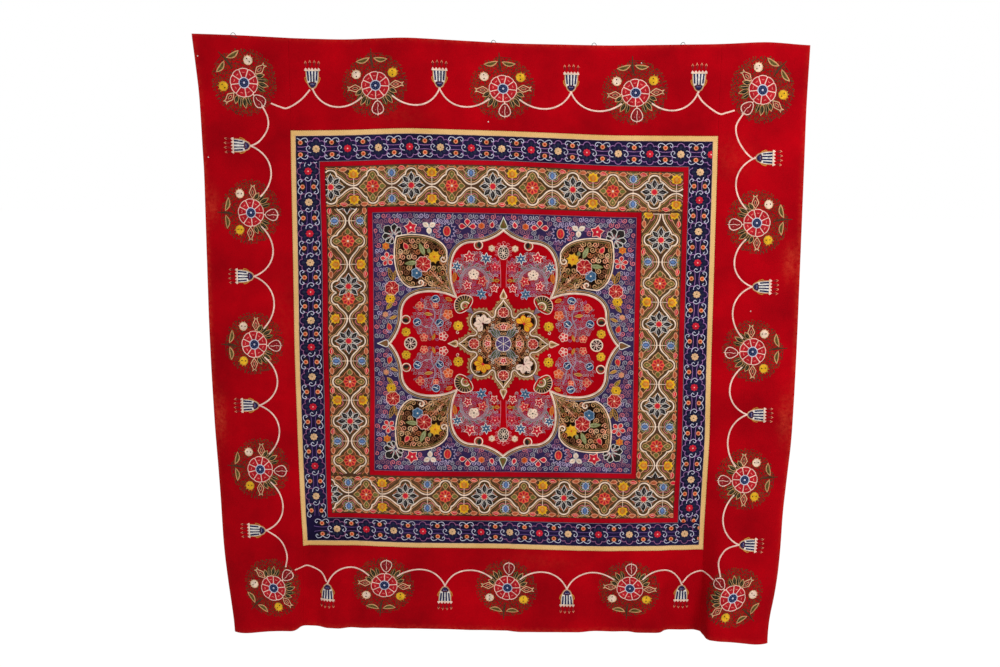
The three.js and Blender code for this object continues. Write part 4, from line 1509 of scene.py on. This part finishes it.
# The corner leaves, drawn for the top left one.
leafFlowers = [
    (-254 + 208j, 15, roundFlower(16, 6, "blue", "paleBlue", "navy", "white")),
    (-202 + 256j, 18, starFlower(20, 8, "yellow", "gold", "orange", 100, 0.72, "orange")),
    (-235 + 234j, 22, wheelFlower(23, 8, "crimson", "pink", "peach", "cream", 12)),
    (-240 + 277j, 9, veinedLeaf(9 - 17j, -6 + 19j, 15, "sage", "olive", "moss")),
    (-274 + 237j, 12, veinedLeaf(22 + 2j, -16 - 2j, 14, "sage", "olive", "moss")),
    (-218 + 273j, 7, veinedLeaf(1 - 8j, -2 + 9j, 10, "sage", "olive", "moss")),
    (-286 + 286j, 9, lay(budDrawing(22, 14, "red", "peach"), 0, 30)),
]
leafCurls = {"pitch": 17.6, "radius": 8.2, "width": 2.7, "seed": 21, "height": 0.6, "turns": 1.3,
             "colours": ("sand", "peach", "tan", "rust", "brown", "tan")}


def featheredStem(foot, head, bulge, colour):
    # a stem with small leaves along it
    span = head - foot
    side = 1j * span / abs(span) * bulge
    stem = bend(foot, foot + span * 0.25 + side * 0.3, foot + span * 0.6 + side, head + side * 1.2, 10)
    strokes = [line(stem, 2.0, colour, 0.9)]
    for place, after in zip(stem[3:8:2], stem[4:9:2]):
        away = (after - place) / abs(after - place)
        for way in (-1, 1):
            tip = place + away * polar(13, way * 38)
            strokes += edged(leafShape(place, tip, 4.5, 3), "bark", colour, 1.2, 0.7)
    return strokes


def aroundTip(shape):
    # the part of a leaf's outline round its point, from left to right
    reach = int(len(shape) * 0.37)
    body = np.roll(shape, reach - np.argmax(np.abs(shape)))[: 2 * reach + 1]
    return body if body[0].real < body[-1].real else body[::-1]


def makeLeafStitching():
    strokes = leftOut(scrollGround(leaves["top_left"], leafFlowers, **leafCurls), insetLoop(cross, -7))
    for bulge, colour in ((-30, "tan"), (-13, "olive"), (4, "peach"), (16, "olive"), (31, "tan")):
        strokes += featheredStem(-149 + 152j, -212 + 220j, bulge, colour)
    strokes += planted(leafFlowers)
    # the outline is open at its foot and ends in two hooks
    body = aroundTip(leaves["top_left"])
    hooks = spiral(-243 + 180j, 10.5, -85, 0.95, 9, 0.3)[::-1], spiral(-176 + 250j, 10.5, -5, -0.95, 9, 0.3)
    strokes.append(line(np.concatenate([hooks[0], body[4:-4], hooks[1]]), 3.7, "cream", 1.4))
    heart = -225 + 235j
    for share, colour in ((0.957, "moss"), (0.93, "tan"), (0.903, "bark"), (0.876, "olive")):
        strokes.append(line(heart + (body[3:-3] - heart) * share, 1.9, colour, 0.8))
    sew("embroidery_leaves", mirroredTwice(strokes))


makeFieldStitching()
makeLeafStitching()
print("field and corner leaves stitched")


# The cross of petals, drawn for the left half of the top one and the top half of the left one.

def eyeDrawing():
    # a dark tear in a ring of cream that hooks off the outline
    strokes = [fill(circle(0, 13.5, 18), "crimson", 0.7)]
    strokes.append(loop(stretched(circle(0, 12.5), 0.95, 1), 2.8, "cream", 1.4))
    strokes.append(fill(leafShape(-4 + 8j, -2 - 9j, 9, 4, 0.5), "olive", 1.0))
    strokes += edged(leafShape(1 + 10j, 4 - 9j, 11, 5, 0.45), "black", "bark", 1.2, 1.2)
    return strokes


def lacyPalmette():
    strokes = edged(stretched(circle(0, 1), 16, 20) - 3j, "black", "pink", 2.0, 0.8)
    for turn in range(0, 360, 45):
        strokes += lay([loop(leafShape(3, 14.5, 7, 3), 1.5, "cream", 1.4)], -5j, turn)
    strokes.append(dot(-5j, 2.6, "cream", 1.7, 6))
    for turn in (52, 90, 128):
        strokes.append(loop(leafShape(8j + polar(2, turn), 8j + polar(13, turn), 5, 3), 1.3, "pink", 1.4))
    for way in (-1, 1):
        for x, y, size in ((12, 20, 6), (19, 11, 5.5), (22, 0, 5), (20, -11, 4.5)):
            scroll = spiral(way * x + 1j * y, size, 90 - way * 90, way * 1.1, 9)
            strokes.append(line(scroll, 1.8, "rose", 1.0))
    return [*strokes, line(spiral(25j, 6, 0, 1.0, 10), 1.8, "rose", 1.0)]


def fanPalmette():
    # opens up and to the left of its heart, a feather points to the middle
    outside = arc(0, 31, 46, 224, 18)
    strokes = [fill(np.append(outside, polar(9, -45)), "olive", 0.6, centre=polar(9, 135))]
    rim = np.concatenate([arc(0, 30, 54, 216, 16), arc(0, 17, 216, 54, 12)])
    strokes.append(fill(rim, "black", 0.8, centre=polar(24, 135)))
    strokes += [ray(turn, 17, 30, 2.2, "tan", 1.3) for turn in np.linspace(58, 212, 10)]
    strokes.append(line(outside, 2.4, "pink", 1.4))
    strokes.append(line(arc(0, 17.5, 46, 224, 12), 1.8, "olive", 1.4))
    strokes.append(line(arc(polar(2, -45), 12.5, 30, 240, 12), 3.5, "cream", 1.6))
    strokes += edged(leafShape(polar(8, 135), polar(8, -45), 13, 5), "brown", "tan", 1.8, 0.9)
    strokes.append(dot(polar(2, -45), 3, "red", 1.5, 6))
    away, side = polar(1, -45), polar(1, 45)
    for end in (polar(1, 47), polar(1, 223)):
        rim = bend(end * 31, end * 28 + away * 12, end * 13 + away * 12, away * 16, 7)
        strokes.append(line(rim, 2.4, "pink", 1.3))
    strokes += edged([away * 15 + side * 10, away * 15 - side * 10, away * 39], "smoke", "bark", 1.8, 0.9)
    for aside in (-3 * side, 0, 3 * side):
        strokes.append(line([away * 17 + aside, away * 31 + aside * 0.3], 1.2, "mauve", 1.5))
    return strokes


def bellFlower(lean=0):
    strokes = edged(circle(0, 11, 16), "navy", "paleBlue", 2.2, 0.8)
    strokes.append(fill(leafShape(-5 + 1j, 6 + 7j, 8, 4), "blue", 1.2))
    strokes.append(line(bend(-8 - 2j, -2 - 5j, 1 + 2j, 7 + 1j, 6), 2.4, "white", 1.6))
    strokes.append(line([2 - 1j, 5 - 7j], 1.8, "paleBlue", 1.5))
    return lay(strokes, 0, lean)


def redStar(reach, points, start, rim="pink", heart="cream"):
    return starFlower(reach, points, "red", rim, heart, start)


def blueStar(reach, start, rim="white"):
    return starFlower(reach, 6, "blue", rim, "white", start, 0.5, "navy")


def cherry(reach, petals, start, width, rim="peach"):
    return petalFlower(reach, petals, "red", rim, "orange", start, width)


# Places with nothing drawn are kept clear for what stands on the mirror lines.
lacyPlace = 274j
topFlowers = [
    (-73 + 292j, 16, eyeDrawing()),
    (-34 + 283j, 9, roundFlower(9.5, 6, "cream", "peach", "gold", "black")),
    (lacyPlace, 27, []),
    (-99 + 258j, 14, redStar(17, 5, 95)),
    (-51 + 253j, 13, blueStar(17, 84)),
    (-136 + 229j, 12, blueStar(15.5, 80)),
    (-25 + 228j, 12, redStar(15, 5, 90, "rose", "pink")),
    (-87 + 206j, 13, roundFlower(15.5, 5, "cream", "pink", "wine", "black")),
    (-61 + 187j, 12, redStar(15, 5, 70, "peach")),
    (-106 + 174j, 12, redStar(14, 5, 100)),
    (-144 + 196j, 10, veinedLeaf(2 + 15j, -1 - 13j, 11, "orange", "gold", "olive")),
    (-25 + 188j, 10, veinedLeaf(0j, -14 + 2j, 9, "gold", "olive", "moss")
     + veinedLeaf(0j, 13 + 1j, 9, "orange", "gold", "moss")),
    (-27 + 165j, 11, redStar(13, 5, 90, "pink", "peach")),
    (-65 + 149j, 13, blueStar(16, 82, "paleBlue")),
]
leftFlowers = [
    (-287 + 71j, 16, lay(eyeDrawing(), 0, 90, flip=True)),
    (-199 + 132j, 11, bellFlower()),
    (-200 + 114j, 8, cherry(9, 4, 45, 1.0)),
    (-254 + 64j, 11, bellFlower(8)),
    (-188 + 62j, 11, bellFlower(24)),
    (-246 + 111j, 12, cherry(13, 4, 90, 0.9)),
    (-221 + 88j, 10, veinedLeaf(-12 + 1j, 13 - 2j, 9, "gold", "tan", "olive")),
    (-287 + 34j, 12, roundFlower(13, 7, "yellow", "gold", "brown", "black")),
    (-234 + 18j, 10, cherry(12, 5, 90, 0.8)),
    (-206 + 19j, 8, veinedLeaf(-3 - 9j, 4 + 11j, 9, "gold", "orange", "olive")),
    (-177 + 22j, 12, cherry(14, 5, 75, 0.8, "pink")),
    (-163 + 87j, 13, petalFlower(15, 5, "orange", "peach", "red", 120, 0.8)),
    (-160 + 131j, 9, veinedLeaf(-9 + 5j, 9 - 3j, 10, "orange", "gold", "olive")),
    (-133 + 53j, 14, roundFlower(14.5, 8, "yellow", "gold", "brown", "black")),
    (-113 + 114j, 32, fanPalmette()),
    (-274 + 0j, 18, []),
]
topGround = [-9 + 168j, -10 + 250j, -26 + 262j, -48 + 268j, -66 + 274j, -92 + 276j, -116 + 268j,
             -136 + 254j, -152 + 236j, -154 + 205j, -147 + 172j, -134 + 148j, -110 + 143j, -88 + 137j,
             -58 + 132j, -36 + 138j]
leftGround = [-262 + 118j, -244 + 136j, -212 + 149j, -176 + 151j, -146 + 138j, -145 + 112j, -147 + 84j,
              -150 + 60j, -158 + 34j, -168 + 9j, -205 + 8j, -250 + 8j, -256 + 26j, -266 + 54j, -270 + 90j]
petalCurls = {"pitch": 10.8, "radius": 5.1, "width": 2.1, "height": 0.55, "turns": 1.05,
              "colours": ("dusk", "smoke", "grey", "mauve", "plum", "grey", "smoke", "dusk")}
petalStems = [
    [-176 + 12j, -190 + 44j, -186 + 84j, -176 + 118j], [-190 + 44j, -208 + 70j, -216 + 78j],
    [-208 + 14j, -214 + 46j, -202 + 84j, -214 + 122j], [-205 + 100j, -226 + 104j, -236 + 106j],
    [-186 + 84j, -174 + 90j], [-216 + 46j, -236 + 52j, -244 + 58j], [-218 + 128j, -206 + 140j],
]


def evenly(row, count):
    # places at even steps round a closed row
    closed = np.append(row, row[0])
    run = np.append(0, np.cumsum(np.abs(np.diff(closed))))
    return np.interp(np.linspace(0, run[-1], count + 1), run, closed)


def flames(outline, offset, reach, count, colour, rim):
    # ragged tongues that stand out from an outline
    rng = np.random.default_rng(51)
    spots = evenly(insetLoop(outline, -offset), count * 2)
    strokes = []
    for k, (a, middle, b) in enumerate(zip(spots[:-1:2], spots[1::2], spots[2::2])):
        out = -1j * (b - a) / abs(b - a)
        tall = reach * (rng.uniform(0.7, 1.2) if k % 3 else 1.8)
        tip = middle + out * tall + (b - a) * rng.uniform(-0.3, 0.4)
        strokes += edged([a, b, tip], colour, rim, 1.1, 0.7)
    return strokes


def makePetalStitching():
    strokes = planted(topFlowers + leftFlowers)
    for ground, flowers, seed in ((topGround, topFlowers, 31), (leftGround, leftFlowers, 32)):
        strokes += scrollGround(ground, flowers, seed=seed, **petalCurls)
    # three rings and their leaves round the upper flowers
    ring = -86 + 186j
    for start, end, radius, width in ((-32, 208, 42, 2.2), (-24, 200, 38.5, 1.6), (-14, 190, 35.5, 1.4)):
        strokes.append(line(arc(ring, radius, start, end, 24), width, "grey", 0.95))
    for turn in range(15, 190, 25):
        strokes += veinedLeaf(ring + polar(43, turn), ring + polar(55, turn - 15), 5, "moss", "grey", "olive")
    for stem in petalStems:
        strokes.append(line(through(stem), 2.2, "grey", 0.9))
        strokes.append(line(through(stem) + 2.6 - 0.6j, 1.3, "mauve", 0.8))
    strokes.append(line(spiral(-134 + 33j, 6, 70, 1.1, 9), 1.8, "pink", 0.9))
    strokes.append(line(through([-11 + 250j, -9 + 225j, -8 + 200j, -8 + 168j]), 1.5, "rose", 0.8))
    strokes = mirroredTwice(strokes)
    upper = lay(lacyPalmette(), lacyPlace)
    strokes += upper + lay(upper, flip=True, turn=180)
    for way in (-1, 1):
        strokes += lay(wheelFlower(17, 8, "black", "cream", "pink", "cream", 14, 2.0), way * 274)
        strokes.append(loop(circle(way * 274, 18, 22), 2.2, "cream", 1.5))
        strokes += lay(spade(28, 19, "tan", "cream"), 135j * way, 90 - 90 * way)
        strokes += lay(spade(28, 19, "tan", "cream"), 135 * way, -90 * way)
    strokes.append(loop(cross, 3.9, "cream", 1.4))
    strokes += edgeRows(cross, ((3.2, 1.4, "pink"),), 1.0)
    strokes += edgeRows(centre, ((-3.6, 1.8, "moss"), (-5.5, 2.0, "tan"), (-7.4, 1.8, "olive")), 0.85)
    strokes += flames(centre, 7.8, 4.0, 96, "tan", "brown")
    sew("embroidery_petals", strokes)


# The medallion: a violet wheel among leaves, and a flower in every lobe.

def violetWheel():
    strokes = edged(circle(0, 23, 26), "violet", "cream", 2.0, 0.9)
    for turn in range(120, 480, 60):
        shape = leafShape(polar(5, turn), polar(19.5, turn), 13, 4, 0.72)
        strokes += edged(shape, "navy", "violet", 1.3, 1.2)
        strokes += [ray(turn, 9, 16, 1.6, "lilac", 1.9), ray(turn - 30, 4, 22, 2.0, "white", 1.9)]
    return [*strokes, dot(0, 3.2, "cream", 2.2, 8)]


def scallopFan(reach=11.25):
    # a lens of scallops round a red flower, opening upward
    rim = through([-27 - 3j, -19 + 7j, -9 + 12j, 13.5j, 9 + 12j, 19 + 7j, 27 - 3j, 14 - 9j, -11j, -14 - 9j],
                  True, 3)
    strokes = [fill(rim, "rust", 0.6, centre=0), loop(rim, 1.8, "tan", 1.1)]
    for spot in (-21 - 1j, -16 - 5j, -14 + 3j, 14 + 3j, 16 - 5j, 21 - 1j, -8 + 8j, 9.5j, 8 + 8j):
        strokes += edged(circle(spot, 3.4, 7), "black", "peach", 1.3, 0.8)
    return strokes + redStar(reach, 5, 90)


def lobeFlower(colour, rim, spot):
    strokes = []
    for away in polar(1, 90 + 52 * np.arange(-2, 3)):
        strokes += edged(leafShape(-6j + away * 2, -6j + away * 27, 16, 6, 0.62), colour, rim, 1.6, 0.8)
        strokes.append(line([-6j + away * 9, -6j + away * 19], 1.7, spot, 1.4))
    return [*strokes, dot(-6j, 3.4, spot, 1.7, 7)]


medallionGround = [-128, -92 + 24j, -80 + 36j, -97 + 62j, -86 + 88j, -62 + 97j, -36 + 80j, -24 + 92j,
                   128j, 0]
medallionClear = [(0, 24, []), (-64 + 64j, 19, []), (94j, 16, []), (-87, 16, []), (50j, 17, []),
                  (-46, 17, [])]
medallionCurls = {"pitch": 9.8, "radius": 4.5, "width": 1.8, "seed": 41, "height": 0.6, "turns": 1.05,
                  "colours": ("tan", "peach", "cream", "brown", "rust", "tan")}


def makeMedallionStitching():
    strokes = scrollGround(medallionGround, medallionClear, **medallionCurls)
    for tip, width in ((-19 + 45j, 11), (-39 + 41j, 12), (-32 + 49j, 10)):
        strokes += veinedLeaf(-13 + 17j, tip, width, "darkGreen", "grey", "olive")
    strokes += veinedLeaf(-120 + 3j, -110 + 12j, 5, "green", "tan", "olive")
    strokes += veinedLeaf(-3 + 120j, -12 + 110j, 5, "green", "tan", "olive")
    strokes = mirroredTwice(strokes)
    wheel = wheelFlower(15.5, 8, "crimson", "pink", "peach", "cream", 8, 1.2)
    for turn, out, near in ((0, 87, 47), (90, 94, 50), (180, 87, 47), (270, 94, 50)):
        strokes += lay(wheel, polar(out, turn)) + lay(scallopFan(), polar(near, turn), turn - 90)
    for turn in (45, 135, 225, 315):
        colours = ("cream", "pink", "wine") if turn in (135, 315) else ("yellow", "orange", "red")
        strokes += lay(lobeFlower(*colours), polar(91, turn), turn - 90)
    strokes += lay(violetWheel(), lift=0.5)
    strokes.append(loop(centre, 3.6, "cream", 1.6))
    strokes += edgeRows(centre, ((3.5, 1.6, "olive"), (5.3, 1.5, "brown")), 0.9)
    sew("embroidery_medallion", strokes)


makePetalStitching()
makeMedallionStitching()
print("petals and medallion stitched")


# Rows of chain along the seams, the whip stitches over them, lint, and the loops it hangs by.
seamRows = [     # half width, half height, width, colour
    (596.8, 607.8, 2.0, "sand"),
    (594.9, 605.9, 1.7, "ink"),
    (530, 534, 1.4, "smoke"),
    (399.2, 401.2, 1.8, "bark"),
    (383.4, 384.4, 1.3, "dusk"),
]
whip = {
    # half width, half height, colour in front
    "seams": ((610, 622, "bark"), (595, 606, "bark"), (529, 533, "wine"), (515, 519, "bark"),
              (398, 400, "bark"), (384, 385, "wine")),
    "front": {"step": 5.2, "reach": 1.7, "width": 0.8},
    "back": {"step": 9.0, "reach": 2.6, "width": 1.2},
}
lintSpots = (-44 + 647j, 719 + 116j, 388 + 823j, -859 + 813j, -853 + 540j)
hanging = {"across": (-757, -29, 254, 502), "wide": 12, "tall": 6.5, "thread": 0.75, "tail": 16,
           "sunk": 0.5, "lean": (-0.8, 1.6)}     # how deep its feet stand, its heights over the cloth


def whipStitches(spots, look, colour, rng):
    # slanting stitches over a seam
    ahead = np.diff(spots)
    half = look["reach"] * ahead / np.abs(ahead) * (1j + rng.normal(0.35, 0.12, len(ahead)))
    return [line([spot - side, spot + side], look["width"], colour, 0.55) for spot, side in zip(spots, half)]


def makeSeamStitching():
    rng = np.random.default_rng(61)
    strokes = [loop(frameLoop(w, h, 9), width, colour, 0.75) for w, h, width, colour in seamRows]
    for halfWidth, halfHeight, colour in whip["seams"]:
        spots = frameLoop(halfWidth, halfHeight, whip["front"]["step"])
        strokes += whipStitches(np.append(spots, spots[0]), whip["front"], colour, rng)
    strokes += [dot(spot, 1.9, "white", 0.7, 7) for spot in lintSpots]
    sew("seam_stitches", strokes)


def makeBackStitching():
    # the same seams from behind, with those of the inlaid shapes and of the strips' ends
    rng = np.random.default_rng(62)
    step = whip["back"]["step"]
    rows = [frameLoop(w, h, step) for w, h, colour in whip["seams"]]
    rows += [evenly(outline, int(length / step)) for outline, length in ((cross, 2350), (centre, 830))]
    for x, y in ((-1, 1), (1, 1), (-1, -1), (1, -1)):
        rows.append(evenly(stretched(cornerLeaf, x, y), int(640 / step)))
        for (outer, *_), (w, h, colour) in zip(whip["seams"], whip["seams"][1:]):
            rows.append(np.arange(w + 3, outer - 1, step) * x + 1j * h * y)
        hem = edge["top"] if y > 0 else -edge["bottom"]
        rows.append(square["halfWidth"] * x + 1j * y * np.arange(square["halfHeight"] + 4, hem - 3, step))
    strokes = []
    for row in rows:
        if len(row) > 1:
            strokes += whipStitches(row, whip["back"], "tan", rng)
    sew("seam_stitches_back", strokes, -1)


def threadTube(name, path, radius):
    # a round thread along a row of places, closed at both ends
    along = np.gradient(path, axis=0)
    along /= np.linalg.norm(along, axis=1, keepdims=True)
    side = np.cross(along, (0.0, 1.0, 0.0))
    side /= np.linalg.norm(side, axis=1, keepdims=True)
    top = np.cross(side, along)
    turns = np.arange(6) / 6 * 2 * np.pi
    aside, raised = np.cos(turns)[:, None] * side[:, None], np.sin(turns)[:, None] * top[:, None]
    rings = path[:, None] + radius * (aside + raised)
    index = np.arange(len(path) * 6).reshape(-1, 6)
    after = np.roll(index, -1, axis=1)
    quads = np.stack([index[:-1], after[:-1], after[1:], index[1:]], axis=-1).reshape(-1, 4)
    run = np.append(0, np.cumsum(np.linalg.norm(np.diff(path, axis=0), axis=1))) / mm
    places = (run[:, None] / silkLook["stitch"] + 1j * np.arange(6) / 6).ravel()
    maps = {"OFBake": spread(places), "stitch": places}
    faces = [quads, index[:1, ::-1], index[-1:]]
    piece = makeMesh(name, rings.reshape(-1, 3), faces, [silk["slate"]], None, maps)


def makeLoops():
    for k, across in enumerate(hanging["across"]):
        turns = np.radians(np.linspace(-25, 205, 15))
        arch = stretched(np.exp(1j * turns), hanging["wide"] / 2, hanging["tall"])
        arch += across + 1j * (edge["top"] - hanging["sunk"])
        if k == 0:
            arch = np.append(arch, arch[-1] + np.linspace(0.1, 1, 5) * (hanging["tail"] - 4j))
        path = onCloth(arch, np.linspace(*hanging["lean"], len(arch)))
        threadTube(f"thread_loop_{k + 1}", path, hanging["thread"] * mm)


makeSeamStitching()
makeBackStitching()
makeLoops()
print("seams and loops ready")


# Light: daylight from the upper right in front, soft fill all round.
lightSetup = {
    "key": {"at": (2.7, -3.0, 1.9), "size": 1.6, "watts": 178, "colour": (1.0, 0.97, 0.93)},
    "fill": {"at": (-3.2, -3.4, 0.2), "size": 3.0, "watts": 30, "colour": (0.93, 0.96, 1.0)},
    "ambient": 0.46,
    "air": (1.0, 0.985, 0.97, 1),
}
ground = {"level": -2.1, "half": 30.0, "glow": 1.06, "matte": (0.8, 0.8, 0.8, 1), "seen": 0.93}


def addLight(name, at, size, watts, colour):
    data = bpy.data.lights.new(name, "AREA")
    data.shape = "DISK"
    data.size = size
    data.energy = watts
    data.color = colour
    lamp = bpy.data.objects.new(name, data)
    bpy.context.scene.collection.objects.link(lamp)
    lamp.location = at
    aim = Vector(cameraSetup["aim"]) - Vector(at)
    lamp.rotation_euler = aim.to_track_quat("-Z", "Y").to_euler()
    lamp.visible_camera = False


def seenDirectly(tree):
    # 1 for the camera's rays and for what is seen in gloss or through glass
    paths = addNode(tree, "LightPath").outputs
    either = maths(tree, "MAXIMUM", paths["Is Camera Ray"], paths["Is Glossy Ray"])
    return maths(tree, "MAXIMUM", either, paths["Is Transmission Ray"])


def blended(tree, share, first, second):
    return addNode(tree, "MixShader", {"Fac": share, 1: first.outputs[0], 2: second.outputs[0]}).outputs[0]


def makeWorld():
    world = bpy.data.worlds.new("daylight")
    bpy.context.scene.world = world
    world.use_nodes = True
    tree = world.node_tree
    tree.nodes.clear()
    around = addNode(tree, "Background", {"Color": lightSetup["air"], "Strength": lightSetup["ambient"]})
    seen = addNode(tree, "Background", {"Color": (1, 1, 1, 1), "Strength": 1.0})
    addNode(tree, "OutputWorld", {"Surface": blended(tree, seenDirectly(tree), around, seen)})


def makeGround():
    half, level = ground["half"], ground["level"]
    corners = [(-half, -half, level), (half, -half, level), (half, half, level), (-half, half, level)]
    mesh = bpy.data.meshes.new("ground")
    mesh.from_pydata(corners, [], [(0, 1, 2, 3)])
    floor = bpy.data.objects.new("ground", mesh)
    bpy.context.scene.collection.objects.link(floor)
    material, tree = newMaterial("groundWhite")
    glow = addNode(tree, "Emission", {"Color": (1, 1, 1, 1), "Strength": ground["glow"]})
    matte = addNode(tree, "BsdfDiffuse", {"Color": ground["matte"]})
    share = maths(tree, "MULTIPLY", seenDirectly(tree), ground["seen"])
    addNode(tree, "OutputMaterial", {"Surface": blended(tree, share, matte, glow)})
    mesh.materials.append(material)


for name in ("key", "fill"):
    addLight(name, **lightSetup[name])
makeWorld()
makeGround()
bpy.context.scene.view_settings.view_transform = "Standard"
print("light and ground ready")
